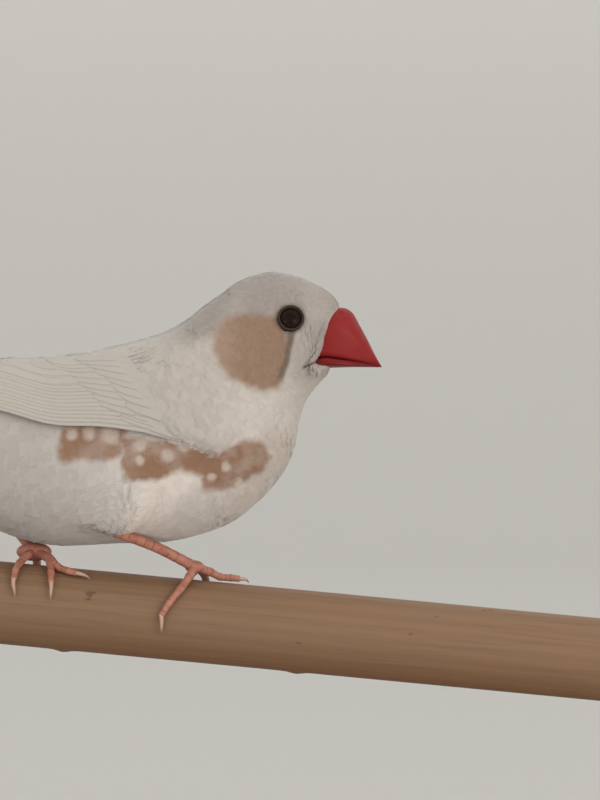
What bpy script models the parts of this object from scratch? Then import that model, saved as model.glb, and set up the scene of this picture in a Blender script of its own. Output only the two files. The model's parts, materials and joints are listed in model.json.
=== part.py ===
"""A life-size zebra finch on a short dowel perch, held by a plain display stand.

The origin is the middle of the underside of the stand's base. +X runs toward the bill, +Y toward
the bird's left side and +Z up. Every size is in millimetres. Each mesh is built in millimetres and
turned into metres once, when it is finished.
"""

import math

import bmesh
import bpy
from mathutils import Matrix, Vector

MM = 0.001
GAP = 0.3
CUTTER_SPARE = 10.0
SHARP_ANGLE = math.radians(40)

# Stand and perch
BASE_LENGTH = 116.0
BASE_WIDTH = 56.0
BASE_THICKNESS = 6.0
BASE_CORNER = 5.0
ROD_DIAMETER = 4.0
ROD_REACH = 53.0
PERCH_DIAMETER = 12.7
PERCH_LENGTH = 114.0
PERCH_HEIGHT = 37.85
PERCH_TILT = math.radians(5.42)

# Trunk sections from the tail's root to the bill: back (x, z), belly (x, z), half width
TRUNK = [
    ((-74.6, 71.5), (-74.6, 66.9), 3.2),
    ((-67.0, 72.8), (-67.0, 65.0), 4.6),
    ((-57.7, 75.0), (-57.9, 61.1), 6.6),
    ((-51.5, 76.5), (-52.3, 56.6), 8.8),
    ((-44.6, 77.6), (-45.4, 52.8), 10.7),
    ((-37.5, 78.0), (-37.7, 50.9), 12.1),
    ((-29.5, 81.3), (-28.5, 51.1), 13.0),
    ((-21.5, 83.9), (-18.8, 51.7), 13.4),
    ((-17.4, 86.1), (-10.8, 54.3), 12.9),
    ((-15.4, 87.7), (-5.9, 58.0), 12.2),
    ((-13.5, 89.1), (-2.6, 61.9), 11.2),
    ((-11.7, 90.4), (-0.6, 66.1), 10.1),
    ((-9.7, 91.8), (0.3, 70.6), 9.1),
    ((-7.1, 92.9), (1.4, 73.5), 8.6),
    ((-3.9, 93.4), (2.9, 75.4), 8.2),
    ((-0.5, 92.8), (4.2, 76.8), 7.3),
    ((2.3, 91.7), (4.8, 77.5), 5.3),
    ((4.5, 90.5), (5.1, 77.9), 3.8),
    ((6.0, 89.1), (5.2, 78.2), 2.8),
    ((6.6, 87.7), (4.9, 78.9), 1.9),
]
TRUNK_NARROWING = 0.1
RINGS_PER_SECTION = 2
RING_POINTS = 26

# Parting planes across the trunk: a point (x, z) and the direction (x, z) toward the bill
HEAD_PARTING = ((-13.1, 89.4), (0.752, 0.659))
NECK_PARTING = ((-19.0, 85.7), (0.631, 0.776))
TAIL_PARTING = ((-60.8, 70.0), (1.0, 0.0))

# Bill sections: upper edge (x, z), lower edge (x, z), half width
UPPER_BILL = [
    ((3.6, 87.0), (0.9, 79.3), 3.9),
    ((6.4, 87.5), (3.4, 80.4), 3.8),
    ((8.0, 86.8), (5.7, 80.0), 3.5),
    ((9.2, 84.8), (7.7, 79.6), 2.9),
    ((10.3, 82.8), (9.4, 79.25), 2.15),
    ((11.4, 80.8), (10.9, 78.9), 1.35),
    ((12.2, 79.3), (12.1, 78.6), 0.6),
    ((12.7, 78.6), (12.6, 78.4), 0.2),
]
LOWER_BILL = [
    ((1.2, 78.9), (2.8, 77.9), 3.4),
    ((3.3, 80.2), (4.4, 78.3), 3.3),
    ((5.6, 79.75), (6.1, 78.4), 3.0),
    ((7.6, 79.35), (8.0, 78.45), 2.4),
    ((9.3, 79.0), (9.5, 78.45), 1.6),
    ((10.8, 78.7), (10.9, 78.45), 0.8),
]
BILL_RINGS = 1
BILL_POINTS = 20
BILL_FLATNESS = 0.15
NOSTRIL = (6.1, 86.6)
NOSTRIL_SPREAD = 1.55
NOSTRIL_RADIUS = 0.45

# Eye, given by its place (x, z) in the side view
EYE_PLACE = (-1.4, 85.85)
EYE_RADIUS = 2.5
EYE_DEPTH = 1.8
LID_RADIUS = 2.0
LID_THICKNESS = 0.5
LID_STEPS = 16
LID_SIDES = 6

# Edges of the folded wing: x, and the angle in degrees down from the back
WING_LOWER_EDGE = [
    (-8.0, 108.0), (-11.5, 110.0), (-16.0, 99.0), (-23.0, 86.0), (-31.0, 76.0),
    (-40.0, 65.0), (-46.0, 58.5), (-52.0, 53.0), (-58.5, 45.0), (-62.6, 39.0),
]
ARM_UPPER_EDGE = [(-8.0, 98.0), (-11.5, 80.0), (-16.0, 62.0), (-23.0, 38.0), (-31.0, 20.0)]
ARM_START = -8.0
ARM_END = -29.0
ARM_LIFT = 2.3
ARM_EDGE_LIFT = 0.7
ARM_DOME_START = 0.12
ARM_DOME_END = 0.82
ARM_CORE = 2.2

# Outlines of vanes: places along them, with the share of the full width at each
FLIGHT_OUTLINE = [(0.0, 0.4), (0.25, 0.9), (0.55, 1.0), (0.82, 0.92), (0.95, 0.62), (1.0, 0.22)]
COVERT_OUTLINE = [(0.0, 0.5), (0.35, 1.0), (0.75, 0.95), (0.93, 0.65), (1.0, 0.25)]
VANE_THICKNESS = 0.5
VANE_ROOT_LIFT = 1.2
VANE_ROOT_SHARE = 0.3

# Wing feathers, from the lowest up: count, then for the first and the last one x and height above
# the wing's lower edge of the root and of the tip, width, lift off the trunk and slope across
OUTER_PRIMARY = (-14.0, 1.4, -62.6, 1.0, 2.3, 1.0, 0.0)
WING_TIERS = {
    "outer_primary": (1, OUTER_PRIMARY, OUTER_PRIMARY),
    "primary": (
        4, (-15.2, 2.8, -60.6, 2.2, 2.4, 1.75, 0.65), (-19.0, 6.4, -51.5, 5.9, 2.5, 1.75, 0.65)),
    "secondary": (
        3, (-20.0, 7.4, -48.5, 7.1, 3.0, 1.75, 0.52), (-23.0, 10.4, -44.5, 9.9, 3.2, 1.75, 0.5)),
    "tertial": (
        3, (-25.0, 9.6, -46.5, 8.7, 4.4, 3.0, 0.3), (-28.0, 13.2, -38.0, 12.2, 3.8, 3.2, 0.3)),
    "greater_covert": (
        6, (-16.0, 2.4, -25.0, 2.2, 3.0, 2.9, 0.4), (-23.0, 12.2, -34.0, 11.4, 3.2, 3.3, 0.4)),
    "median_covert": (
        5, (-13.5, 4.0, -20.0, 3.8, 3.0, 3.1, 0.4), (-19.0, 12.4, -27.0, 12.6, 3.2, 2.9, 0.4)),
}

# Tail: root and tip (x, z) of the middle pair, and steps from each pair to the next one outward
TAIL_PAIRS = 6
TAIL_ROOT = (-64.0, 71.9)
TAIL_TIP = (-87.7, 70.7)
TAIL_STEP_DOWN = 0.8
TAIL_STEP_ROOT = 0.3
TAIL_STEP_TIP = 0.45
TAIL_STEP_OUT = 0.2
TAIL_SLOPE = 0.2
RECTRIX_WIDTH = 5.2

# Tail coverts: count, (x, z) of root and tip, spread of their middles, width, and the drop of the
# outer ones. They curve down at their sides, or up under the tail, and draw together at the root.
TAIL_COVERTS = {
    "upper_long": (2, (-63.0, 71.6), (-78.5, 72.0), 3.7, 3.5, 0.0),
    "upper_short": (3, (-61.6, 72.3), (-72.0, 73.4), 4.6, 3.4, 0.9),
    "under_long": (2, (-63.0, 66.2), (-78.0, 65.6), 3.7, 3.5, 0.0),
    "under_short": (3, (-61.6, 64.6), (-71.5, 64.4), 4.6, 3.0, 0.9),
}
UPPER_COVERT_CURVE = 0.09
UNDER_COVERT_CURVE = -0.06
COVERT_ROOT_SPREAD = 0.7

# Legs: thigh sections (x, y, z, radius), and the ends of each bare shank
RIGHT_THIGH = [
    (-22.0, -8.8, 63.5, 2.4),
    (-24.6, -10.2, 58.9, 3.8),
    (-26.8, -9.7, 55.5, 2.9),
    (-28.3, -8.6, 53.2, 1.3),
]
LEFT_THIGH = [
    (-38.5, 7.8, 65.0, 2.4),
    (-41.8, 9.8, 61.5, 3.8),
    (-45.0, 10.9, 58.2, 2.8),
    (-47.1, 11.0, 55.7, 1.3),
]
RIGHT_HEEL = (-28.0, -8.6, 53.3)
RIGHT_FOOT = (-16.2, -1.5, 47.8)
LEFT_HEEL = (-47.0, 11.2, 55.8)
LEFT_FOOT = (-41.0, 1.5, 50.0)
TARSUS_RADIUS = 0.85
TARSUS_BOW = 0.4
FOOT_RADIUS = 1.2
FOOT_DEPTH_SHARE = 0.5
TOE_RADIUS = 0.6
TOE_TIP_RADIUS = 0.5
TOE_REST = 0.45
TOE_ARCH = 0.6
TOE_STEPS = 2
CLAW_RADIUS = 0.38
CLAW_TIP_RADIUS = 0.08
CLAW_MIDDLE_SHARE = 0.75
CLAW_TIP_LIFT = 0.5
CLAW_GAP = 0.4
THIGH_STEPS = 3

# Toes as x and the angle in degrees round the perch, from its top toward the bird's right side.
# The last two places of each are the claw's.
RIGHT_TOES = {
    "hallux": [(-17.6, 28), (-18.8, 48), (-20.2, 68), (-21.2, 85), (-21.1, 90), (-20.9, 108)],
    "inner": [(-17.2, -16), (-18.0, -38), (-18.6, -58), (-19.0, -76), (-19.1, -81), (-19.2, -98)],
    "middle": [(-15.6, -18), (-14.9, -44), (-14.6, -72), (-14.5, -98), (-14.5, -103), (-14.5, -121)],
    "outer": [(-14.6, 0), (-13.0, -3), (-11.3, -5), (-9.9, -7), (-9.5, -8), (-8.5, -12)],
}
LEFT_TOES = {
    "hallux": [(-41.3, -34), (-41.6, -54), (-41.9, -76), (-42.0, -81), (-42.1, -100)],
    "inner": [(-42.6, 6), (-43.6, 26), (-44.0, 42), (-44.1, 56), (-44.1, 61), (-43.6, 78)],
    "middle": [(-39.7, 8), (-38.9, 24), (-38.6, 40), (-38.4, 56), (-38.3, 61), (-38.2, 78)],
    "outer": [(-39.2, 12), (-37.7, 26), (-36.1, 33), (-34.7, 36), (-34.3, 37), (-32.6, 41)],
}

PLUMAGE = (0.80, 0.77, 0.73)
FEATHERS = (0.82, 0.79, 0.75)
BILL_RED = (0.42, 0.05, 0.045)
LEG_ORANGE = (0.48, 0.20, 0.13)
CLAW_PALE = (0.55, 0.38, 0.30)
EYE_DARK = (0.02, 0.01, 0.008)
DOWEL_WOOD = (0.36, 0.23, 0.14)
BASE_WOOD = (0.30, 0.20, 0.13)
STEEL = (0.55, 0.55, 0.56)


def clear_scene():
    for item in list(bpy.data.objects):
        bpy.data.objects.remove(item, do_unlink=True)


def material(name, colour, roughness, metallic=0.0):
    """A Principled material, made once for each name."""
    made = bpy.data.materials.get(name)
    if made is None:
        made = bpy.data.materials.new(name)
        made.use_nodes = True
        shader = made.node_tree.nodes["Principled BSDF"]
        shader.inputs["Base Color"].default_value = (*colour, 1.0)
        shader.inputs["Roughness"].default_value = roughness
        shader.inputs["Metallic"].default_value = metallic
    return made


def new_object(name, mesh):
    item = bpy.data.objects.new(name, mesh)
    bpy.context.scene.collection.objects.link(item)
    return item


def object_from(name, bm):
    """Turns a bmesh into an object and frees it."""
    mesh = bpy.data.meshes.new(name)
    bm.to_mesh(mesh)
    bm.free()
    return new_object(name, mesh)


def remove(items):
    for item in items:
        bpy.data.objects.remove(item, do_unlink=True)


def apply_modifiers(item):
    """Replaces the object's mesh with its evaluated one."""
    evaluated = item.evaluated_get(bpy.context.evaluated_depsgraph_get())
    mesh = bpy.data.meshes.new_from_object(evaluated)
    item.modifiers.clear()
    item.data = mesh


def combine(item, pieces, operation):
    """Joins closed pieces to an object, or cuts them from it, and removes them."""
    group = bpy.data.collections.new(item.name + "_pieces")
    bpy.context.scene.collection.children.link(group)
    for piece in pieces:
        bpy.context.scene.collection.objects.unlink(piece)
        group.objects.link(piece)
    boolean = item.modifiers.new("combine", "BOOLEAN")
    boolean.operation = operation
    boolean.operand_type = "COLLECTION"
    boolean.collection = group
    boolean.solver = "EXACT"
    boolean.use_self = True
    apply_modifiers(item)
    remove(pieces)
    bpy.data.collections.remove(group)


def keep_largest(item):
    """Keeps only the closed surface that holds the most volume."""
    bm = bmesh.new()
    bm.from_mesh(item.data)
    unseen = set(bm.faces)
    shells = []
    while unseen:
        front = [unseen.pop()]
        shell = []
        while front:
            face = front.pop()
            shell.append(face)
            for edge in face.edges:
                for other in edge.link_faces:
                    if other in unseen:
                        unseen.remove(other)
                        front.append(other)
        shells.append(shell)
    largest = max(shells, key=shell_volume)
    loose = [face for shell in shells if shell is not largest for face in shell]
    bmesh.ops.delete(bm, geom=loose, context="FACES")
    bm.to_mesh(item.data)
    bm.free()


def shell_volume(shell):
    """Volume inside a closed set of faces, by its signed tetrahedra."""
    total = 0.0
    for face in shell:
        first = face.verts[0].co
        for left, right in zip(face.verts[1:-1], face.verts[2:]):
            total += first.dot(left.co.cross(right.co)) / 6.0
    return total


def finish(item, node, finish_material, group):
    """Names a node, turns its mesh into metres, shades it smooth and files it with the finch."""
    item.name = node
    item.data.name = node
    item.data.transform(Matrix.Scale(MM, 4))
    item.data.shade_smooth()
    item.data.set_sharp_from_angle(angle=SHARP_ANGLE)
    item.data.materials.clear()
    item.data.materials.append(finish_material)
    for holder in list(item.users_collection):
        holder.objects.unlink(item)
    group.objects.link(item)


def blend(rows, place):
    """Smooth values between rows of numbers, at a place counted in rows."""
    place = min(max(place, 0.0), len(rows) - 1.0001)
    index = int(place)
    step = place - index
    near = [rows[min(max(k, 0), len(rows) - 1)] for k in (index - 1, index, index + 1, index + 2)]
    values = []
    for a, b, c, d in zip(*near):
        slope = c - a
        curve = 2 * a - 5 * b + 4 * c - d
        twist = 3 * b - a - 3 * c + d
        values.append(0.5 * (2 * b + slope * step + curve * step ** 2 + twist * step ** 3))
    return values


def flat_rows(sections):
    """Section tuples as plain rows: top x, top z, bottom x, bottom z, half width."""
    return [(*top, *bottom, width) for top, bottom, width in sections]


def section_point(rows, place, angle, narrowing=0.0, flat_side=0):
    """A point of a section ring, the angle in radians from its top toward +Y.

    A flat side of 1 flattens the ring's top, and one of -1 its bottom.
    """
    top_x, top_z, low_x, low_z, width = blend(rows, place)
    rise = math.cos(angle)
    if rise * flat_side > 0.0:
        rise = math.copysign(abs(rise) ** BILL_FLATNESS, rise)
    height = (1.0 + rise) / 2.0
    across = width * math.sin(angle) * (1.0 - narrowing * math.cos(angle))
    return Vector((low_x + (top_x - low_x) * height, across, low_z + (top_z - low_z) * height))


TRUNK_ROWS = flat_rows(TRUNK)


def trunk_point(place, angle, lift=0.0):
    """A point of the trunk's skin or, with a lift, straight out from it."""
    small = 0.01
    point = section_point(TRUNK_ROWS, place, angle, TRUNK_NARROWING)
    if lift == 0.0:
        return point
    place = min(max(place, small), len(TRUNK_ROWS) - 1.0 - small)
    ahead = section_point(TRUNK_ROWS, place + small, angle, TRUNK_NARROWING)
    behind = section_point(TRUNK_ROWS, place - small, angle, TRUNK_NARROWING)
    round_one = section_point(TRUNK_ROWS, place, angle + small, TRUNK_NARROWING)
    round_two = section_point(TRUNK_ROWS, place, angle - small, TRUNK_NARROWING)
    normal = (round_one - round_two).cross(ahead - behind).normalized()
    return point - normal * lift


def trunk_place(x, angle):
    """The place along the trunk whose skin has this x at this angle."""
    low, high = 0.0, len(TRUNK_ROWS) - 1.0
    for _ in range(30):
        middle = (low + high) / 2.0
        if section_point(TRUNK_ROWS, middle, angle).x < x:
            low = middle
        else:
            high = middle
    return middle


def side_place(x, z):
    """The place and angle on the trunk that the side view shows at (x, z)."""
    low, high = 0.0, len(TRUNK_ROWS) - 1.0
    for _ in range(30):
        middle = (low + high) / 2.0
        top_x, top_z, low_x, low_z, _width = blend(TRUNK_ROWS, middle)
        height = (z - low_z) / (top_z - low_z)
        if low_x + (top_x - low_x) * height < x:
            low = middle
        else:
            high = middle
    height = min(max(height, 0.0), 1.0)
    return middle, math.acos(2.0 * height - 1.0)


def loft(name, rows, rings_per_section, ring_points, narrowing=0.0, flat_side=0):
    """A closed body through section rows, capped at both ends."""
    bm = bmesh.new()
    count = (len(rows) - 1) * rings_per_section + 1
    rings = []
    for k in range(count):
        place = k / rings_per_section
        ring = []
        for j in range(ring_points):
            angle = 2.0 * math.pi * j / ring_points
            ring.append(bm.verts.new(section_point(rows, place, angle, narrowing, flat_side)))
        rings.append(ring)
    for near, far in zip(rings[:-1], rings[1:]):
        for j in range(ring_points):
            after = (j + 1) % ring_points
            bm.faces.new((near[j], near[after], far[after], far[j]))
    bm.faces.new(rings[0])
    bm.faces.new(rings[-1])
    bmesh.ops.recalc_face_normals(bm, faces=bm.faces)
    return object_from(name, bm)


def cut_off(item, parting, keep_front):
    """Cuts an object on a parting plane, half the gap back from it, and caps the cut."""
    (x, z), (dx, dz) = parting
    normal = Vector((dx, 0.0, dz)).normalized()
    back = GAP / 2.0 if keep_front else -GAP / 2.0
    point = Vector((x, 0.0, z)) + normal * back
    bm = bmesh.new()
    bm.from_mesh(item.data)
    geometry = bm.verts[:] + bm.edges[:] + bm.faces[:]
    result = bmesh.ops.bisect_plane(
        bm, geom=geometry, plane_co=point, plane_no=normal,
        clear_inner=keep_front, clear_outer=not keep_front)
    rim = [edge for edge in result["geom_cut"] if isinstance(edge, bmesh.types.BMEdge)]
    bmesh.ops.contextual_create(bm, geom=rim)
    bmesh.ops.recalc_face_normals(bm, faces=bm.faces)
    bm.to_mesh(item.data)
    bm.free()


def copy_of(item, name):
    return new_object(name, item.data.copy())


def grown_copy(item, distance):
    """A copy of a closed body with its skin moved out."""
    copy = copy_of(item, item.name + "_grown")
    bm = bmesh.new()
    bm.from_mesh(copy.data)
    bm.normal_update()
    moves = [(vertex, vertex.normal.copy()) for vertex in bm.verts]
    for vertex, normal in moves:
        vertex.co += normal * distance
    bm.to_mesh(copy.data)
    bm.free()
    return copy


def tube(name, points, radii, resolution=2):
    """A closed tube through points, with its own radius at each."""
    curve = bpy.data.curves.new(name, "CURVE")
    curve.dimensions = "3D"
    curve.bevel_depth = 1.0
    curve.bevel_resolution = resolution
    curve.use_fill_caps = True
    spline = curve.splines.new("POLY")
    spline.points.add(len(points) - 1)
    for knot, point, radius in zip(spline.points, points, radii):
        knot.co = (*point, 1.0)
        knot.radius = radius
    guide = new_object(name + "_guide", curve)
    evaluated = guide.evaluated_get(bpy.context.evaluated_depsgraph_get())
    mesh = bpy.data.meshes.new_from_object(evaluated)
    remove([guide])
    bpy.data.curves.remove(curve)
    bm = bmesh.new()
    bm.from_mesh(mesh)
    bmesh.ops.remove_doubles(bm, verts=bm.verts, dist=0.001)
    bmesh.ops.recalc_face_normals(bm, faces=bm.faces)
    bm.to_mesh(mesh)
    bm.free()
    return new_object(name, mesh)


def smooth_path(rows, steps):
    """Rows of numbers read along a smooth curve, with steps between each two."""
    count = (len(rows) - 1) * steps
    return [blend(rows, k / steps) for k in range(count + 1)]


def ball(name, centre, radius, segments=16, rings=10):
    bm = bmesh.new()
    bmesh.ops.create_uvsphere(bm, u_segments=segments, v_segments=rings, radius=radius)
    bmesh.ops.translate(bm, verts=bm.verts, vec=centre)
    return object_from(name, bm)


def sheet(name, along, across, place):
    """An open grid whose corners run from (0, 0) to (1, 1) through the place function."""
    bm = bmesh.new()
    bmesh.ops.create_grid(bm, x_segments=along, y_segments=across, size=1.0)
    for vertex in bm.verts:
        u = (vertex.co.x + 1.0) / 2.0
        v = (vertex.co.y + 1.0) / 2.0
        vertex.co = place(u, v)
    bmesh.ops.triangulate(bm, faces=bm.faces)
    return object_from(name, bm)


def thicken(item, thickness, offset):
    """Gives an open sheet its thickness, and makes it a closed body facing out."""
    solid = item.modifiers.new("thickness", "SOLIDIFY")
    solid.thickness = thickness
    solid.offset = offset
    apply_modifiers(item)
    bm = bmesh.new()
    bm.from_mesh(item.data)
    bmesh.ops.recalc_face_normals(bm, faces=bm.faces)
    bm.to_mesh(item.data)
    bm.free()


def perch_point(x, angle, lift):
    """A point beside the perch, the angle from its top toward the bird's right side."""
    centre = Vector((x, 0.0, PERCH_HEIGHT - x * math.tan(PERCH_TILT)))
    up = Vector((math.sin(PERCH_TILT), 0.0, math.cos(PERCH_TILT)))
    right = Vector((0.0, -1.0, 0.0))
    radius = PERCH_DIAMETER / 2.0 + lift
    return centre + (up * math.cos(angle) + right * math.sin(angle)) * radius


def build_stand(group):
    """The flat base, the two rods and the length of dowel that they carry."""
    wood = material("base_wood", BASE_WOOD, 0.5)
    steel = material("rod_steel", STEEL, 0.35, 1.0)
    bm = bmesh.new()
    bmesh.ops.create_cube(bm, size=1.0)
    bmesh.ops.scale(bm, vec=(BASE_LENGTH, BASE_WIDTH, BASE_THICKNESS), verts=bm.verts)
    bmesh.ops.translate(bm, vec=(0.0, 0.0, BASE_THICKNESS / 2.0), verts=bm.verts)
    upright = [edge for edge in bm.edges if abs(edge.verts[0].co.z - edge.verts[1].co.z) > 1.0]
    bmesh.ops.bevel(bm, geom=upright, offset=BASE_CORNER, segments=5, affect="EDGES", profile=0.5)
    base = object_from("stand_base", bm)
    finish(base, "stand_base", wood, group)

    perch_cutter = dowel("perch_cutter", PERCH_DIAMETER / 2.0 + GAP, PERCH_LENGTH + CUTTER_SPARE)
    for side, node in ((-1, "stand_rod_rear"), (1, "stand_rod_front")):
        foot = BASE_THICKNESS + GAP
        bm = bmesh.new()
        height = PERCH_HEIGHT - side * ROD_REACH * math.tan(PERCH_TILT) - foot
        bmesh.ops.create_cone(
            bm, cap_ends=True, segments=20, radius1=ROD_DIAMETER / 2.0,
            radius2=ROD_DIAMETER / 2.0, depth=height)
        bmesh.ops.translate(bm, vec=(side * ROD_REACH, 0.0, foot + height / 2.0), verts=bm.verts)
        rod = object_from(node, bm)
        combine(rod, [copy_of(perch_cutter, "rod_saddle")], "DIFFERENCE")
        keep_largest(rod)
        finish(rod, node, steel, group)
    remove([perch_cutter])
    perch = dowel("perch", PERCH_DIAMETER / 2.0, PERCH_LENGTH)
    finish(perch, "perch", material("dowel_wood", DOWEL_WOOD, 0.6), group)


def dowel(name, radius, length):
    """A round length of wood lying along the perch's tilted axis."""
    bm = bmesh.new()
    bmesh.ops.create_cone(
        bm, cap_ends=True, segments=40, radius1=radius, radius2=radius, depth=length)
    bmesh.ops.rotate(bm, verts=bm.verts, matrix=Matrix.Rotation(math.pi / 2.0 + PERCH_TILT, 3, "Y"))
    bmesh.ops.translate(bm, verts=bm.verts, vec=(0.0, 0.0, PERCH_HEIGHT))
    return object_from(name, bm)


def eye_frame(side):
    """The place of an eye's rim on the head and the direction out of the head there."""
    place, angle = side_place(*EYE_PLACE)
    on_skin = trunk_point(place, angle)
    outward = trunk_point(place, angle, 1.0) - on_skin
    mirror = Vector((1.0, side, 1.0))
    return on_skin * mirror, outward * mirror


def lid_ring(name, side):
    """The ring of the lids, lying on the head round an eye."""
    on_skin, outward = eye_frame(side)
    turn = outward.to_track_quat("Z", "Y").to_matrix()
    bm = bmesh.new()
    rings = []
    for k in range(LID_STEPS):
        around = 2.0 * math.pi * k / LID_STEPS
        ring = []
        for j in range(LID_SIDES):
            section = 2.0 * math.pi * j / LID_SIDES
            reach = LID_RADIUS + LID_THICKNESS * math.cos(section)
            lift = LID_THICKNESS * math.sin(section)
            local = Vector((reach * math.cos(around), reach * math.sin(around), lift))
            ring.append(bm.verts.new(on_skin + turn @ local))
        rings.append(ring)
    for k, ring in enumerate(rings):
        following = rings[(k + 1) % LID_STEPS]
        for j in range(LID_SIDES):
            after = (j + 1) % LID_SIDES
            bm.faces.new((ring[j], ring[after], following[after], following[j]))
    bmesh.ops.recalc_face_normals(bm, faces=bm.faces)
    return object_from(name, bm)


def build_bill(group):
    """Upper and lower bill. Returns copies grown by the gap, to seat them in the face."""
    red = material("bill_red", BILL_RED, 0.35)
    upper = loft("bill_upper", flat_rows(UPPER_BILL), BILL_RINGS, BILL_POINTS, flat_side=-1)
    lower = loft("bill_lower", flat_rows(LOWER_BILL), BILL_RINGS, BILL_POINTS, flat_side=1)
    seats = [grown_copy(upper, GAP), grown_copy(lower, GAP)]
    nostrils = []
    for side in (-1, 1):
        x, z = NOSTRIL
        nostrils.append(ball("nostril", Vector((x, side * NOSTRIL_SPREAD, z)), NOSTRIL_RADIUS, 8, 6))
    combine(upper, nostrils, "DIFFERENCE")
    combine(lower, [grown_copy(upper, GAP)], "DIFFERENCE")
    keep_largest(upper)
    keep_largest(lower)
    finish(upper, "bill_upper", red, group)
    finish(lower, "bill_lower", red, group)
    return seats


def build_trunk(group):
    """Torso, neck and head from one loft, and the eyes. Returns the torso grown by the gap."""
    plumage = material("plumage", PLUMAGE, 0.9)
    dark = material("eye_dark", EYE_DARK, 0.1)
    whole = loft("trunk", TRUNK_ROWS, RINGS_PER_SECTION, RING_POINTS, TRUNK_NARROWING)

    neck = copy_of(whole, "neck")
    cut_off(neck, NECK_PARTING, True)
    cut_off(neck, HEAD_PARTING, False)
    finish(neck, "neck", plumage, group)

    head = copy_of(whole, "head")
    cut_off(head, HEAD_PARTING, True)
    combine(head, [lid_ring("lid_right", -1), lid_ring("lid_left", 1)], "UNION")
    cutters = build_bill(group)
    for side, node in ((-1, "eye_right"), (1, "eye_left")):
        on_skin, outward = eye_frame(side)
        centre = on_skin - outward * EYE_DEPTH
        cutters.append(ball("socket", centre, EYE_RADIUS + GAP, 16, 12))
        finish(ball(node, centre, EYE_RADIUS, 16, 12), node, dark, group)
    combine(head, cutters, "DIFFERENCE")
    keep_largest(head)
    finish(head, "head", plumage, group)

    torso = copy_of(whole, "torso")
    cut_off(torso, NECK_PARTING, False)
    tail_core = copy_of(whole, "tail_core")
    cut_off(torso, TAIL_PARTING, True)
    cut_off(tail_core, TAIL_PARTING, False)
    grown_trunk = grown_copy(whole, GAP)
    remove([whole])
    finish(torso, "torso", plumage, group)
    return tail_core, grown_trunk


def value_between(pairs, x):
    """A value read along straight lines between (x, value) pairs whose x runs down."""
    for (near_x, near), (far_x, far) in zip(pairs[:-1], pairs[1:]):
        if x >= far_x:
            break
    return near + (far - near) * (x - near_x) / (far_x - near_x)


def wing_point(x, height, lift, side):
    """A point of a folded wing: its x, the height above the lower edge and the lift off the trunk."""
    edge = math.radians(value_between(WING_LOWER_EDGE, x))
    place = trunk_place(x, edge)
    small = 0.05
    upper = section_point(TRUNK_ROWS, place, edge - small, TRUNK_NARROWING)
    lower = section_point(TRUNK_ROWS, place, edge, TRUNK_NARROWING)
    angle = edge - height * small / (upper - lower).length
    point = trunk_point(trunk_place(x, angle), angle, lift)
    return Vector((point.x, point.y * side, point.z))


def vane(name, outline, place):
    """A feather's blade. Its place function takes the shares along and across it and of its width."""
    def outlined(u, v):
        along, share = outline[round(u * (len(outline) - 1))]
        return place(along, 2.0 * v - 1.0, share)

    blade = sheet(name, len(outline) - 1, 2, outlined)
    thicken(blade, VANE_THICKNESS, 0.0)
    return blade


def mix(first, last, share):
    return [a + (b - a) * share for a, b in zip(first, last)]


def wing_tier(name, side):
    """One tier of overlapping wing feathers, each rooted in the arm."""
    count, first, last = WING_TIERS[name]
    outline = COVERT_OUTLINE if name.endswith("covert") else FLIGHT_OUTLINE
    blades = []
    for k in range(count):
        sizes = mix(first, last, k / max(count - 1, 1))
        root_x, root_height, tip_x, tip_height, width, lift, slope = sizes

        def place(along, across, share):
            x = root_x + (tip_x - root_x) * along
            offset = across * share * width / 2.0
            height = root_height + (tip_height - root_height) * along + offset
            rise = min(along / VANE_ROOT_SHARE, 1.0)
            feather_lift = VANE_ROOT_LIFT + (lift - VANE_ROOT_LIFT) * rise - slope * offset
            return wing_point(x, height, feather_lift, side)

        blades.append(vane(f"{name}_{k}", outline, place))
    return blades


def build_arm(node, side):
    """The feathered arm of a folded wing, which the vanes grow from."""
    def place(u, v):
        x = ARM_START + (ARM_END - ARM_START) * u
        low = value_between(WING_LOWER_EDGE, x)
        high = value_between(ARM_UPPER_EDGE, x)
        angle = math.radians(low + (high - low) * v)
        along = ARM_DOME_START + (ARM_DOME_END - ARM_DOME_START) * u
        dome = math.sqrt(math.sin(math.pi * v)) * math.sin(math.pi * along)
        lift = ARM_EDGE_LIFT + (ARM_LIFT - ARM_EDGE_LIFT) * dome
        point = trunk_point(trunk_place(x, angle), angle, lift)
        return Vector((point.x, point.y * side, point.z))

    arm = sheet(node, 10, 8, place)
    thicken(arm, ARM_CORE, -side)
    return arm


def build_wing(side, node, grown_trunk, group):
    """A folded wing lying on the side of the trunk, with its feathers in tiers."""
    wing = build_arm(node, side)
    blades = []
    for name in WING_TIERS:
        blades += wing_tier(name, side)
    combine(wing, blades, "UNION")
    combine(wing, [copy_of(grown_trunk, "wing_seat")], "DIFFERENCE")
    keep_largest(wing)
    finish(wing, node, material("flight_feathers", FEATHERS, 0.8), group)


def rectrix(pair, side):
    """One tail feather, counted outward and downward from the middle pair."""
    root_x = TAIL_ROOT[0] - TAIL_STEP_ROOT * pair
    tip_x = TAIL_TIP[0] + TAIL_STEP_TIP * pair

    def place(along, across, share):
        inner = GAP + (TAIL_STEP_OUT * pair + 1.0 - share) * along
        reach = (across + 1.0) / 2.0 * RECTRIX_WIDTH * share
        x = root_x + (tip_x - root_x) * along
        z = TAIL_ROOT[1] + (TAIL_TIP[1] - TAIL_ROOT[1]) * along
        return Vector((x, side * (inner + reach), z - TAIL_STEP_DOWN * pair - TAIL_SLOPE * reach))

    return vane(f"rectrix_{pair}", FLIGHT_OUTLINE, place)


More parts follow.
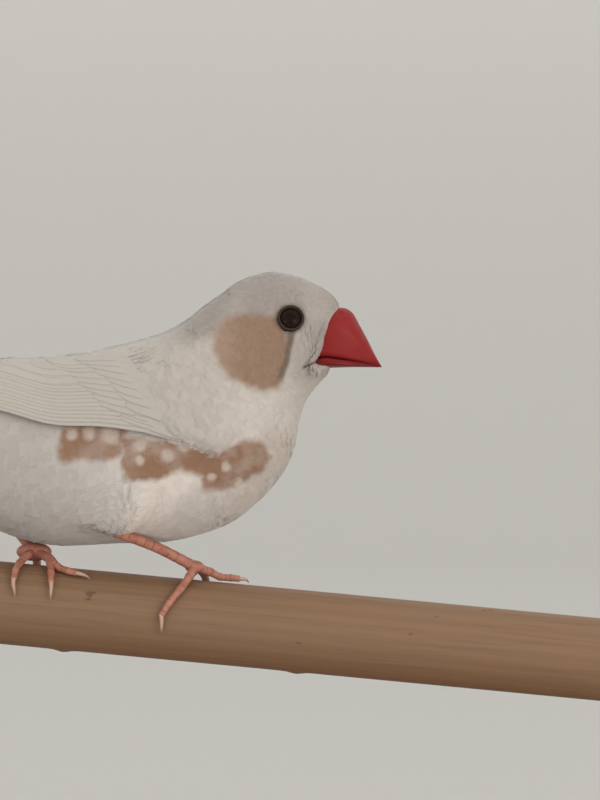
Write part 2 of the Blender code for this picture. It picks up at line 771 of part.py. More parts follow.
def tail_coverts(name):
    """A short tier of coverts over or under the roots of the tail feathers."""
    count, root, tip, spread, width, outer_drop = TAIL_COVERTS[name]
    curve = UPPER_COVERT_CURVE if name.startswith("upper") else UNDER_COVERT_CURVE
    blades = []
    for k in range(count):
        aside = k / (count - 1) - 0.5

        def place(along, across, share):
            draw = COVERT_ROOT_SPREAD + (1.0 - COVERT_ROOT_SPREAD) * along
            y = spread * aside * draw + across * share * width / 2.0
            x = root[0] + (tip[0] - root[0]) * along
            z = root[1] + (tip[1] - root[1]) * along
            return Vector((x, y, z - curve * y * y - outer_drop * 2.0 * abs(aside)))

        blades.append(vane(f"{name}_{k}", COVERT_OUTLINE, place))
    return blades


def build_tail(core, group):
    """The rump's end, with six pairs of tail feathers and their coverts growing from it."""
    blades = []
    for pair in range(TAIL_PAIRS):
        blades += [rectrix(pair, side) for side in (-1, 1)]
    for name in TAIL_COVERTS:
        blades += tail_coverts(name)
    combine(core, blades, "UNION")
    keep_largest(core)
    finish(core, "tail", material("flight_feathers", FEATHERS, 0.8), group)


def build_thigh(sections, node, grown_trunk, group):
    """The feathered part of a leg, standing out from the belly. Returns a copy grown by the gap."""
    path = smooth_path(sections, THIGH_STEPS)
    thigh = tube(node, [row[:3] for row in path], [row[3] for row in path], 4)
    combine(thigh, [copy_of(grown_trunk, "thigh_seat")], "DIFFERENCE")
    keep_largest(thigh)
    seat = grown_copy(thigh, GAP)
    finish(thigh, node, material("plumage", PLUMAGE, 0.9), group)
    return seat


def build_toe(toe, route, joint):
    """One toe from the joint of the foot to just short of its claw, and the place where it ends."""
    points = [joint]
    for k, (x, angle) in enumerate(route[:-2]):
        arch = TOE_ARCH if k == 0 else 0.0
        points.append(perch_point(x, math.radians(angle), TOE_RADIUS + TOE_REST + arch))
    rows = smooth_path([tuple(point) for point in points], TOE_STEPS)
    taper = (TOE_TIP_RADIUS - TOE_RADIUS) / (len(rows) - 1)
    return tube(toe, rows, [TOE_RADIUS + taper * k for k in range(len(rows))]), points[-1]


def build_claw(toe_end, route, node, horn, group):
    """A curved claw that starts just past the end of its toe and bends down to the perch."""
    (root_x, root_angle), (tip_x, tip_angle) = route
    rest = TOE_RADIUS + TOE_REST
    root = perch_point(root_x, math.radians(root_angle), rest)
    middle = perch_point((root_x + tip_x) / 2.0, math.radians(root_angle + tip_angle) / 2.0, rest)
    tip = perch_point(tip_x, math.radians(tip_angle), CLAW_TIP_LIFT)
    start = toe_end + (root - toe_end).normalized() * CLAW_GAP
    radii = [CLAW_RADIUS, CLAW_RADIUS * CLAW_MIDDLE_SHARE, CLAW_TIP_RADIUS]
    finish(tube(node, [start, middle, tip], radii, 1), node, horn, group)


def build_foot(side_name, toes, foot_place, heel_place, cutters, group):
    """Toes, claws and the bare shank of one leg, cut clear of the thigh and the belly above it."""
    horn = material("claw_pale", CLAW_PALE, 0.4)
    scales = material("leg_orange", LEG_ORANGE, 0.55)
    joint = Vector(foot_place)
    foot = ball(f"foot_{side_name}", joint, FOOT_RADIUS, 12, 8)
    pieces = []
    for toe, route in toes.items():
        piece, toe_end = build_toe(toe, route, joint)
        pieces.append(piece)
        build_claw(toe_end, route[-2:], f"claw_{side_name}_{toe}", horn, group)
    combine(foot, pieces, "UNION")
    keep_largest(foot)

    heel = Vector(heel_place)
    end = joint + (heel - joint).normalized() * FOOT_RADIUS * FOOT_DEPTH_SHARE
    middle = (heel + end) / 2.0 + Vector((0.0, 0.0, TARSUS_BOW))
    shank = tube(f"tarsus_{side_name}", [heel, middle, end], [TARSUS_RADIUS] * 3)
    combine(shank, [grown_copy(foot, GAP)] + cutters, "DIFFERENCE")
    keep_largest(shank)
    finish(foot, f"foot_{side_name}", scales, group)
    finish(shank, f"tarsus_{side_name}", scales, group)


def main():
    clear_scene()
    group = bpy.data.collections.new("zebra_finch")
    bpy.context.scene.collection.children.link(group)
    build_stand(group)
    tail_core, grown_trunk = build_trunk(group)
    build_tail(tail_core, group)
    for side, node in ((-1, "wing_right"), (1, "wing_left")):
        build_wing(side, node, grown_trunk, group)
    legs = [
        ("right", RIGHT_THIGH, RIGHT_HEEL, RIGHT_FOOT, RIGHT_TOES),
        ("left", LEFT_THIGH, LEFT_HEEL, LEFT_FOOT, LEFT_TOES),
    ]
    for side_name, thigh, heel, foot, toes in legs:
        seat = build_thigh(thigh, f"thigh_{side_name}", grown_trunk, group)
        build_foot(side_name, toes, foot, heel, [seat, copy_of(grown_trunk, "belly")], group)
    remove([grown_trunk])


main()
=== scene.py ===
"""A zebra finch perched on a length of dowel that a plain display stand holds.

The tables are in millimetres and degrees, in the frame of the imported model: +X toward the bill, +Y
toward the bird's left side and +Z up. Meshes turn them into metres as they are made. The lengths
among the properties are in metres, as Blender keeps them.
"""

import functools
import json
import math
import random

import bmesh
import bpy
from bpy.props import FloatProperty, FloatVectorProperty, IntProperty, PointerProperty
from mathutils import Matrix, Vector, kdtree, noise

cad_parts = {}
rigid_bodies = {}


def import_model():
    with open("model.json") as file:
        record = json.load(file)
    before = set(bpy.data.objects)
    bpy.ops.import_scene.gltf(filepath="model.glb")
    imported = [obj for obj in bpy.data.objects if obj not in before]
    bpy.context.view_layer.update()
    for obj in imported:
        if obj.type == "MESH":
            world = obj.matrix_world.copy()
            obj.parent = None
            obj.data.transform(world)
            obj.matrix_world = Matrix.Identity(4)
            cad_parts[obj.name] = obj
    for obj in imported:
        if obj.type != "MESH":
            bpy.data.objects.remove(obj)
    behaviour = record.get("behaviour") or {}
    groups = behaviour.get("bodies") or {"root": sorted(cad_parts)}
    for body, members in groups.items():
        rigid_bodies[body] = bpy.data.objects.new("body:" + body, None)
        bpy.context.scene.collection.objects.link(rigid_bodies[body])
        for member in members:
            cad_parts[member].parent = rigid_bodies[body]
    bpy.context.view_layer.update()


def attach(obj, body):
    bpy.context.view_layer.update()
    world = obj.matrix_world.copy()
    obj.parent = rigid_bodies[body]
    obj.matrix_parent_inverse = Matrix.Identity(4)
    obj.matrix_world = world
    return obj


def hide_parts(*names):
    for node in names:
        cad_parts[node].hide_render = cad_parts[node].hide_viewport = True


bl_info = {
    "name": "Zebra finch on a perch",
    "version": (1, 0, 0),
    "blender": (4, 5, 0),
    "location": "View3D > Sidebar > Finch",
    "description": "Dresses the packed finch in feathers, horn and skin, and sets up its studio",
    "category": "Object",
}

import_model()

MM = 0.001
# The bird's sides: the sign of their y, and their word in the names of pieces
SIDES = ((-1, "right"), (1, "left"))
SHARP_ANGLE = math.radians(50.0)

# Trunk sections from the tail's root to the bill: back (x, z), belly (x, z), half width
TRUNK = [
    ((-74.6, 71.5), (-74.6, 66.9), 3.2),
    ((-67.0, 72.8), (-67.0, 65.0), 4.6),
    ((-57.7, 75.0), (-57.9, 61.1), 6.6),
    ((-51.5, 76.5), (-52.3, 56.6), 8.8),
    ((-44.6, 77.6), (-45.4, 52.8), 10.7),
    ((-37.5, 78.0), (-37.7, 50.9), 12.1),
    ((-29.5, 81.3), (-28.5, 51.1), 13.0),
    ((-21.5, 83.9), (-18.8, 51.7), 13.4),
    ((-17.4, 86.1), (-10.8, 54.3), 12.9),
    ((-15.4, 87.7), (-5.9, 58.0), 12.2),
    ((-13.5, 89.1), (-2.6, 61.9), 11.2),
    ((-11.7, 90.4), (-0.6, 66.1), 10.1),
    ((-9.7, 91.8), (0.3, 70.6), 9.1),
    ((-7.1, 92.9), (1.4, 73.5), 8.6),
    ((-3.9, 93.4), (2.9, 75.4), 8.2),
    ((-0.5, 92.8), (4.2, 76.8), 7.3),
    ((2.3, 91.7), (4.8, 77.5), 5.3),
    ((4.5, 90.5), (5.1, 77.9), 3.8),
    ((6.0, 89.1), (5.2, 78.2), 2.8),
    ((6.6, 87.7), (4.9, 78.9), 1.9),
]
TRUNK_NARROWING = 0.1
SKIN_RINGS = 11
SKIN_POINTS = 160
SKIN_VOXEL = 0.5
SKIN_SMOOTHING = 16

# Where the skin round the thighs is smoothed further: x from and to, and z of its soft lower edge and
# of its top. Then how far from the thigh that starts and fades, how it fades in from below, the rounds of
# smoothing, the swell that makes up for them, and the share of the coat's depth taken off the thighs.
THIGH_BLEND_X = (-56.0, -12.0)
THIGH_BLEND_Z = (51.0, 68.0)
THIGH_BLEND_START = 1.5
THIGH_BLEND_FADE = 1.0
THIGH_BLEND_RISE = 3.5
THIGH_SMOOTHING = 45
THIGH_SWELL = 0.2
THIGH_DEPTH_SHARE = 0.7

# Bill sections: upper edge (x, z), lower edge (x, z), half width
UPPER_BILL = [
    ((3.6, 87.0), (0.9, 78.9), 3.9),
    ((6.4, 87.5), (3.3, 79.8), 3.8),
    ((8.0, 86.8), (5.7, 79.6), 3.5),
    ((9.2, 84.8), (7.7, 79.35), 2.9),
    ((10.3, 82.8), (9.4, 79.1), 2.15),
    ((11.3, 80.8), (10.9, 78.8), 1.35),
    ((12.1, 79.3), (12.0, 78.55), 0.6),
    ((12.55, 78.6), (12.5, 78.4), 0.2),
]
LOWER_BILL = [
    ((1.2, 78.6), (2.8, 77.9), 3.4),
    ((3.2, 79.6), (4.4, 78.3), 3.3),
    ((5.6, 79.4), (6.1, 78.4), 3.0),
    ((7.6, 79.15), (8.0, 78.45), 2.4),
    ((9.3, 78.95), (9.5, 78.45), 1.6),
    ((10.8, 78.7), (10.9, 78.45), 0.9),
    ((12.1, 78.52), (12.2, 78.42), 0.3),
]
BILL_RINGS = 10
BILL_POINTS = 72
BILL_FLATNESS = 0.15
BILL_CLOSING = 0.4
CULMEN_RIDGE = 0.12
CULMEN_SHARPNESS = 24
NOSTRIL = (6.1, 86.6)
NOSTRIL_RADIUS = 0.42
NOSTRIL_DEPTH = 0.35

# Where the feathers stop on the bill: (z, x), from the forehead down to the gape
BILL_EDGE = [
    (87.6, 6.2), (85.7, 4.9), (84.2, 4.3), (83.1, 3.7), (81.8, 3.5), (80.3, 2.9), (79.0, 2.4), (78.4, 3.2),
    (77.9, 4.6),
]

# How near that line the skin starts to draw in under the horn, how deep it then lies inside it, and the
# lengths over which that comes in
BILL_LAP = 0.4
BILL_SINK = 0.45
BILL_FADE = 0.6
BILL_TOP_FADE = 0.8

# Eye, given by its place (x, z) in the side view
EYE_PLACE = (-1.4, 85.85)
EYE_RADIUS = 2.5
EYE_DEPTH = 1.96
LID_RADIUS = 1.86
LID_THICKNESS = 0.19
LID_STEPS = 96
LID_SIDES = 12
LID_BEADS = 30
LID_BEAD_RISE = 0.16
LID_LIFT = 0.12
EYE_BARE_RADIUS = 1.9

# Lower edge of the folded wing: x, and the angle down from the back
WING_LOWER_EDGE = [
    (-8.0, 108.0), (-11.5, 110.0), (-16.0, 99.0), (-23.0, 86.0), (-31.0, 76.0),
    (-40.0, 65.0), (-46.0, 58.5), (-52.0, 53.0), (-58.5, 45.0), (-62.6, 39.0),
]
# How far the folded wing stands off the trunk: at its lower edge, for each millimetre up from there,
# and by x along the back, which it comes to between the two angles
WING_RISE = 0.85
WING_RISE_SLOPE = 0.15
CREST_RISES = [
    (0.0, 0.0), (-24.0, 0.05), (-27.5, 0.2), (-30.8, 0.5), (-33.7, 1.4), (-37.0, 2.4), (-46.0, 2.35),
    (-54.0, 1.5), (-60.0, 0.6), (-66.0, 0.0),
]
CREST_ANGLES = (12.0, 50.0)
WING_START = -4.0
WING_GROWTH = 14.0
WING_END = -66.0
WING_TOP = 14.3

# The shoulder's small feathers stop at this x on the wing's lower edge, and further back above it.
# They thin out over a length, and the skin lies this far above the wing's outer face under them.
SHOULDER_END = -19.5
SHOULDER_SLANT = 0.55
SHOULDER_FADE = 8.0
SHOULDER_COVER = 0.45

# The skin keeps this clear of the vanes. It rises over them at the wing's top edge, this far under the
# back and over this height, and sinks again over this length at the wing's rear end.
VANE_CLEARANCE = 0.1
WING_TOP_GAP = 0.9
WING_TOP_FADE = 2.5
WING_REAR_FADE = 10.0

# Wing feathers, from the lowest up: count, outline, layer, then for the first and the last one x and
# height above the wing's lower edge of the root and of the tip, and the width
OUTER_PRIMARY = (-14.0, 1.2, -62.5, 1.0, 2.6)
WING_TIERS = {
    "outer_primary": (1, "flight", 0.0, OUTER_PRIMARY, OUTER_PRIMARY),
    "primary": (8, "flight", 0.01, (-15.2, 2.2, -61.6, 1.7, 3.4), (-19.0, 6.6, -50.5, 6.2, 4.0)),
    "secondary": (6, "flight", 0.02, (-20.0, 7.2, -49.2, 6.8, 4.2), (-23.0, 10.4, -44.5, 9.9, 4.4)),
    "tertial": (3, "flight", 0.04, (-24.0, 9.2, -47.5, 7.8, 4.6), (-28.0, 12.4, -41.5, 10.8, 4.6)),
    "primary_covert": (6, "covert", 0.06, (-13.4, 1.8, -27.0, 1.6, 2.8), (-16.4, 5.0, -29.0, 4.8, 3.2)),
    "greater_covert": (9, "covert", 0.08, (-17.5, 3.8, -30.0, 3.6, 3.6), (-23.5, 12.0, -38.5, 12.0, 4.2)),
    "median_covert": (8, "covert", 0.13, (-14.5, 4.0, -26.0, 3.8, 3.4), (-20.0, 12.0, -34.0, 12.2, 4.2)),
}
VANE_THICKNESS = 0.045
VANE_OVERLAP = 0.03
VANE_ROOT_DROP = 0.9
VANE_ROOT_RUN = 9.0
SHAFT_HEIGHT = 0.02
SHAFT_SHARE = 0.1
VANE_ALONG = 28
VANE_ACROSS = 10
VANE_JITTER = 0.3

# Tail: root and tip (x, z) of the middle pair, and steps from each pair to the next one outward
TAIL_PAIRS = 6
TAIL_ROOT = (-64.0, 71.9)
TAIL_TIP = (-87.6, 70.7)
TAIL_STEP_DOWN = 0.45
TAIL_STEP_ROOT = 0.3
TAIL_STEP_TIP = 0.8
TAIL_STEP_OUT = 0.2
TAIL_SLOPE = 0.12
TAIL_CURVE = 0.065
RECTRIX_WIDTH = 5.2
RECTRIX_GAP = 0.15
RECTRIX_JITTER = 0.2

# Tail coverts: count, (x, z) of root and tip, spread of their middles, width, and the drop of the
# outer ones. They curve down at their sides, or up under the tail, and draw together at the root.
TAIL_COVERTS = {
    "upper_long": (5, (-62.0, 71.9), (-78.3, 71.75), 5.2, 3.6, 0.6),
    "upper_middle": (5, (-60.5, 72.6), (-74.5, 72.35), 5.8, 3.6, 0.7),
    "upper_short": (6, (-58.5, 73.2), (-70.5, 72.95), 6.8, 3.6, 1.0),
    "under_long": (5, (-62.0, 66.5), (-77.0, 66.9), 5.2, 3.4, -0.1),
    "under_short": (6, (-60.0, 65.2), (-71.5, 66.1), 6.4, 3.4, -0.2),
}
UPPER_COVERT_CURVE = 0.085
UNDER_COVERT_CURVE = -0.015
COVERT_ROOT_SPREAD = 0.7
COVERT_JITTER = 0.5
COVERT_LAYER = 0.12

# Thigh sections: x, y, z, radius
RIGHT_THIGH = [
    (-20.6, -6.8, 65.0, 4.4),
    (-24.2, -9.2, 59.6, 4.2),
    (-26.7, -9.4, 55.7, 2.9),
    (-28.3, -8.6, 53.2, 1.3),
]
LEFT_THIGH = [
    (-36.6, 5.8, 66.0, 4.4),
    (-41.2, 8.7, 61.8, 4.1),
    (-44.9, 10.5, 58.3, 2.8),
    (-47.1, 11.0, 55.7, 1.3),
]
THIGH_STEPS = 6
THIGH_SIDES = 24

# Feathers that fill the fold behind each thigh, as sections like the thighs'
FANS = [
    [(-27.5, -6.6, 61.5, 4.4), (-29.2, -7.2, 57.2, 3.7), (-29.6, -6.2, 54.6, 3.0)],
    [(-44.0, 5.6, 63.0, 4.2), (-46.2, 7.2, 59.7, 3.6), (-47.0, 6.8, 57.2, 2.6)],
]

# Ends of each bare shank, and the sizes of the bare legs
RIGHT_HEEL = (-28.0, -8.6, 53.3)
RIGHT_FOOT = (-16.2, -1.5, 47.8)
LEFT_HEEL = (-47.0, 11.2, 55.8)
LEFT_FOOT = (-41.0, 1.5, 50.0)
TARSUS_RADIUS = 0.82
TARSUS_BOW = 0.4
TARSUS_SCUTES = 11
# How far a shank swells at its heel and at its foot, over this share of its length
TARSUS_SWELLS = (0.3, 0.22)
TARSUS_SWELL_RUN = 0.08
TARSUS_SWELL_SHARE = 0.6
KNOT_RADIUS = 1.3
KNOT_SCALES = {"right": (1.15, 0.95, 0.75), "left": (2.1, 1.2, 1.1)}
TOE_BASE_RADIUS = 0.85
TOE_RADIUS = 0.6
TOE_TIP_RADIUS = 0.48
TOE_REST = 0.2
TOE_ARCH = 0.6
TOE_SCUTES = 12
# Shares of a toe's length over which its thick base thins and its tip rounds off, and the tip's own share
TOE_BASE_RUN = 0.15
TOE_TIP_RUN = 0.06
TOE_TIP_SHARE = 0.45
SCUTE_RISE = 0.05
KNUCKLE_RISE = 0.14
KNUCKLE_WIDTH = 0.16
CLAW_RADIUS = 0.36
CLAW_TIP_RADIUS = 0.05
CLAW_ROOT_LIFT = 0.05
CLAW_TIP_LIFT = 0.4
# How far a claw reaches back into its toe, and how long it keeps its thickness toward its tip
CLAW_OVERLAP = 0.3
CLAW_FULLNESS = 1.6
# Where a claw's middle lies, as shares of its root's and its tip's places
CLAW_MIDDLE = (0.4, 0.6)
LIMB_SIDES = 18

# Toes as x and the angle round the perch, from its top toward the bird's right side.
# The last two places of each are the claw's.
RIGHT_TOES = {
    "hallux": [(-17.6, 28), (-18.8, 48), (-20.2, 68), (-21.2, 85), (-21.1, 90), (-20.9, 108)],
    "inner": [(-17.2, -16), (-18.0, -38), (-18.6, -58), (-19.0, -76), (-19.1, -81), (-19.2, -98)],
    "middle": [(-15.6, -18), (-14.9, -44), (-14.6, -72), (-14.5, -98), (-14.5, -103), (-14.5, -121)],
    "outer": [(-14.6, 0), (-13.0, -3), (-11.3, -5), (-9.9, -7), (-9.5, -8), (-8.5, -12)],
}
LEFT_TOES = {
    "hallux": [(-41.3, -34), (-41.6, -54), (-41.9, -76), (-42.0, -81), (-42.1, -100)],
    "inner": [(-42.6, 6), (-43.6, 26), (-44.0, 42), (-44.1, 56), (-44.1, 61), (-43.6, 78)],
    "middle": [(-39.7, 8), (-38.9, 24), (-38.6, 40), (-38.4, 56), (-38.3, 61), (-38.2, 78)],
    "outer": [(-39.2, 12), (-37.7, 26), (-36.1, 33), (-34.7, 36), (-34.3, 37), (-32.6, 41)],
}

LEGS = {
    "right": (RIGHT_THIGH, RIGHT_HEEL, RIGHT_FOOT, RIGHT_TOES),
    "left": (LEFT_THIGH, LEFT_HEEL, LEFT_FOOT, LEFT_TOES),
}

# Perch and stand
PERCH_DIAMETER = 12.7
PERCH_LENGTH = 114.0
PERCH_HEIGHT = 37.85
PERCH_TILT = math.radians(5.42)
PERCH_BEVEL = 0.4
PERCH_STEPS = 150
PERCH_SIDES = 120
PERCH_WEAR = 0.02
# How fast the wear changes along and round the dowel
PERCH_WEAR_SCALES = (0.25, 2.0)
# Small knots: place along the dowel, angle round it, height. Then how far one reaches each way.
PERCH_KNOTS = [(-36.0, 178.0, 0.35), (0.0, 176.0, 0.3), (37.0, 60.0, 0.12), (-31.0, 25.0, 0.1)]
KNOT_REACH_ALONG = 1.1
KNOT_REACH_ROUND = 9.0
# Place of the pith in the wood, and the gaps between the rings of the dowel and of the base
WOOD_PITH = (-9.0, -21.0)
DOWEL_RINGS = 1.9
BASE_RINGS = 2.6
ROD_DIAMETER = 4.0
ROD_REACH = 53.0
ROD_SIDES = 64
# The rods end this share of the dowel's diameter under its middle line
ROD_TOP_SHARE = 0.45
BASE_LENGTH = 116.0
BASE_WIDTH = 56.0
BASE_THICKNESS = 6.0
BASE_CORNER = 5.0
BASE_BEVEL = 1.2

# Length of the coat's feathers by place along the trunk, from the bill to the tail
FEATHER_LENGTHS = [(19.0, 0.45), (17.0, 0.7), (15.0, 1.3), (12.0, 2.1), (9.0, 2.8), (5.0, 3.4), (0.0, 3.8)]
THIGH_FEATHER_LENGTH = 2.2

# Coat regions: place from and to along the trunk, angle from and to down from the back, and the
# spacing of the feathers. The first region that holds a face takes it.
COAT_REGIONS = {
    "face": (15.4, 19.0, 0.0, 180.0, 0.27),
    "crown": (12.0, 15.4, 0.0, 90.0, 0.31),
    "throat": (12.0, 15.4, 90.0, 180.0, 0.31),
    "neck": (9.3, 12.0, 0.0, 180.0, 0.42),
    "back": (0.0, 9.3, 0.0, 60.0, 0.5),
    "breast": (7.0, 9.3, 60.0, 180.0, 0.46),
    "flanks": (4.4, 7.0, 60.0, 125.0, 0.48),
    "belly": (3.2, 7.0, 125.0, 180.0, 0.52),
    "vent": (0.0, 4.4, 60.0, 180.0, 0.52),
}
THIGH_REGION = "thighs"
THIGH_SPACING = 0.42
CHIN_LIE = (-0.75, 0.0, -0.65)

# One small feather, in shares of its length: places along it with its half width there, and how far it
# arches along, cups across and droops
TUFT_OUTLINE = ((0.0, 0.06), (0.38, 0.27), (0.7, 0.33))
TUFT_TIP_WIDTH = 0.27
TUFT_THICKNESS = 0.012
TUFT_ARCH = 0.03
TUFT_CUP = 0.15
TUFT_DROOP = 0.08
TUFT_KINDS = 4

# How small feathers stray: shares of the unevenness for pitch, roll and turn, and their range of lengths
PITCH_SPREAD = 0.12
ROLL_SPREAD = 0.3
TURN_SPREAD = 1.2
LENGTH_RANGE = (0.88, 1.12)
# Points tried in each square of the spacing, and the side of a small feather's patch in the baking map
POINTS_TRIED = 4.0
TUFT_PATCH = 0.003

# Markings in the side view, each a convex outline of (x, z) places, anticlockwise, and how far their
# corners are rounded
CHEEK = [
    (-6.4, 74.7), (-3.0, 75.2), (-1.9, 79.6), (-1.5, 82.8), (-3.0, 86.0), (-9.4, 86.8), (-12.4, 85.0),
    (-13.3, 81.0), (-11.4, 77.3),
]
FLANK_BLOCKS = [
    [(-36.4, 63.8), (-27.2, 64.7), (-26.0, 69.6), (-36.0, 70.6)],
    [(-26.4, 60.2), (-22.8, 61.2), (-16.6, 61.4), (-15.8, 66.8), (-27.6, 68.4)],
    [(-18.0, 62.4), (-12.0, 61.4), (-11.0, 66.0), (-17.0, 66.6)],
    [(-14.8, 59.7), (-10.9, 60.0), (-6.0, 61.9), (-4.6, 65.0), (-5.6, 67.4), (-14.6, 65.4)],
]
# Painted highlight: a pale patch over the near (right) thigh only
NEAR_THIGH_HIGHLIGHT = [(-27.6, 52.6), (-23.6, 52.6), (-15.0, 61.2), (-18.5, 63.5), (-24.0, 61.0)]
BREAST_BAND = [(-7.5, 60.5), (0.4, 61.8), (0.6, 68.6), (-5.5, 68.8)]
OUTLINE_ROUNDING = 1.0
# Pale spots on the flank: x, z, radius
FLANK_SPOTS = [
    (-34.6, 68.2, 1.0), (-31.9, 68.3, 1.1), (-28.6, 68.1, 1.5), (-24.2, 66.6, 1.2), (-24.3, 64.4, 0.8),
    (-20.0, 65.0, 1.1), (-17.5, 66.4, 1.0), (-13.4, 61.6, 0.8), (-11.2, 63.3, 0.9), (-9.3, 60.9, 0.8),
]
# Ends of the painted shadow in the crease behind the gape, and the middle of the grey before the eye, as (x,
# z) places
GAPE = ((0.4, 78.3), (2.6, 79.3))
LORES = (2.4, 84.2)
# Tear line: the (x, z) place where it bends, its slopes above and below there, and from where to where it
# fades in at its foot and out at its top
TEAR_BEND = (-1.95, 80.0)
TEAR_SLOPES = (0.17, 0.3)
TEAR_FOOT = (75.4, 77.4)
TEAR_TOP = (83.6, 84.6)
# Bars over the tail's root: the gap from one to the next, and where they fade in by x and by z
BAR_GAP = 2.6
BAR_START = (-61.0, -66.0)
BAR_FOOT = (69.5, 71.0)

# Studio lamps in metres: place, width and height, and colour
KEY_LAMP = ((0.65, -0.8, 0.19), (0.6, 0.34), (1.0, 0.97, 0.93))
FILL_LAMP = ((-0.45, -1.0, 0.17), (0.6, 0.3), (0.98, 0.98, 1.0))
LAMP_AIM = (-0.02, 0.0, 0.07)
AIR_COLOUR = (1.0, 0.985, 0.96)
BACKDROP_SIDES = 128


def clamp(value, low=0.0, high=1.0):
    return min(max(value, low), high)


def smooth_step(share):
    """A share from 0 to 1, eased at both of its ends."""
    share = clamp(share)
    return share * share * (3.0 - 2.0 * share)


def shares(count):
    """Even shares from 0 to 1."""
    return [k / (count - 1) for k in range(count)]


def turns(count):
    """The angles of points spread evenly round a ring, in radians."""
    return [2.0 * math.pi * k / count for k in range(count)]


def search(end, before, rounds=24):
    """The place between 0 and an end up to which a test holds, found by halving."""
    low, high = 0.0, end
    for _ in range(rounds):
        middle = (low + high) / 2.0
        if before(middle):
            low = middle
        else:
            high = middle
    return middle


def blend(rows, place):
    """Smooth values between rows of numbers, at a place counted in rows."""
    place = clamp(place, 0.0, len(rows) - 1.0001)
    index = int(place)
    step = place - index
    near = [rows[min(max(k, 0), len(rows) - 1)] for k in (index - 1, index, index + 1, index + 2)]
    values = []
    for a, b, c, d in zip(*near):
        slope = c - a
        curve = 2 * a - 5 * b + 4 * c - d
        twist = 3 * b - a - 3 * c + d
        values.append(0.5 * (2 * b + slope * step + curve * step ** 2 + twist * step ** 3))
    return values


def flat_rows(sections):
    """Section tuples as plain rows: top x, top z, bottom x, bottom z, half width."""
    return [(*top, *bottom, width) for top, bottom, width in sections]


TRUNK_ROWS = flat_rows(TRUNK)
TRUNK_END = len(TRUNK_ROWS) - 1.0


def section_point(rows, place, angle, narrowing=0.0, flat_side=0):
    """A point of a section ring, the angle in radians from its top toward +Y.

    A flat side of 1 flattens the ring's top, and one of -1 its bottom.
    """
    top_x, top_z, low_x, low_z, width = blend(rows, place)
    rise = math.cos(angle)
    if rise * flat_side > 0.0:
        rise = math.copysign(abs(rise) ** BILL_FLATNESS, rise)
    height = (1.0 + rise) / 2.0
    across = width * math.sin(angle) * (1.0 - narrowing * math.cos(angle))
    return Vector((low_x + (top_x - low_x) * height, across, low_z + (top_z - low_z) * height))


def trunk_point(place, angle):
    return section_point(TRUNK_ROWS, place, angle, TRUNK_NARROWING)


def trunk_normal(place, angle):
    """The direction straight out of the trunk."""
    small = 0.01
    place = clamp(place, small, TRUNK_END - small)
    along = trunk_point(place + small, angle) - trunk_point(place - small, angle)
    around = trunk_point(place, angle + small) - trunk_point(place, angle - small)
    return along.cross(around).normalized()


def trunk_place(x, angle):
    """The place along the trunk whose skin has this x at this angle."""
    return search(TRUNK_END, lambda place: section_point(TRUNK_ROWS, place, angle).x < x)


def side_view(rows, place, z):
    """A section as the side view shows it at height z: its x, z's share of its height, its half width."""
    top_x, top_z, low_x, low_z, width = blend(rows, place)
    height = (z - low_z) / (top_z - low_z)
    return low_x + (top_x - low_x) * height, height, width


def side_place(x, z):
    """The place and angle on the trunk that the side view shows at (x, z)."""
    place = search(TRUNK_END, lambda middle: side_view(TRUNK_ROWS, middle, z)[0] < x)
    height = clamp(side_view(TRUNK_ROWS, place, z)[1])
    return place, math.acos(2.0 * height - 1.0)


# The eye's place and angle on the trunk, and its middle on the bird's left side
EYE_SPOT = side_place(*EYE_PLACE)
EYE_CENTRE = trunk_point(*EYE_SPOT)


def down_from_back(angle):
    """An angle round the trunk, in degrees down from the back on either side."""
    return math.degrees(min(angle, 2.0 * math.pi - angle))


def bill_half_width(rows, x, z, flat_side):
    """Half of a bill's width where the side view shows it at (x, z)."""
    place = search(len(rows) - 1.0, lambda middle: side_view(rows, middle, z)[0] < x, rounds=20)
    _x, height, width = side_view(rows, place, z)
    rise = clamp(2.0 * height - 1.0, -1.0, 1.0)
    if rise * flat_side > 0.0:
        rise = abs(rise) ** (1.0 / BILL_FLATNESS)
    return width * math.sqrt(1.0 - rise * rise)


def value_between(pairs, x):
    """A value read along straight lines between (x, value) pairs whose x runs down."""
    for (near_x, near), (far_x, far) in zip(pairs[:-1], pairs[1:]):
        if x >= far_x:
            break
    return near + (far - near) * (x - near_x) / (far_x - near_x)


def mix(first, last, share):
    return [a + (b - a) * share for a, b in zip(first, last)]


def wing_speed(x):
    """Millimetres for each radian round the trunk, at the wing's lower edge."""
    small = 0.05
    edge = math.radians(value_between(WING_LOWER_EDGE, x))
    place = trunk_place(x, edge)
    return (trunk_point(place, edge - small) - trunk_point(place, edge)).length / small


WING_SPEEDS = [(-2.0 * k, wing_speed(-2.0 * k)) for k in range(1, 36)]


def wing_height(x, angle_down):
    """The height above the wing's lower edge, round the trunk, of an angle in degrees from the back."""
    return math.radians(value_between(WING_LOWER_EDGE, x) - angle_down) * value_between(WING_SPEEDS, x)


def crest_share(angle_down):
    """How much a place belongs to the back and not to the side, from 1 to 0."""
    near, far = CREST_ANGLES
    return smooth_step((far - abs(angle_down)) / (far - near))


def wing_rise(x, height, angle_down):
    """How far the folded wing's outer face stands off the trunk."""
    side = WING_RISE + WING_RISE_SLOPE * clamp(height, 0.0, 12.0)
    crest = value_between(CREST_RISES, x)
    rise = side + (crest - side) * crest_share(angle_down)
    return rise * smooth_step((WING_START - x) / WING_GROWTH)


def shoulder_share(x, height):
    """How much of the wing the shoulder's small feathers cover at a place, from 1 to 0."""
    reach = x - SHOULDER_END + SHOULDER_SLANT * height
    return smooth_step((reach + SHOULDER_FADE / 2.0) / SHOULDER_FADE)


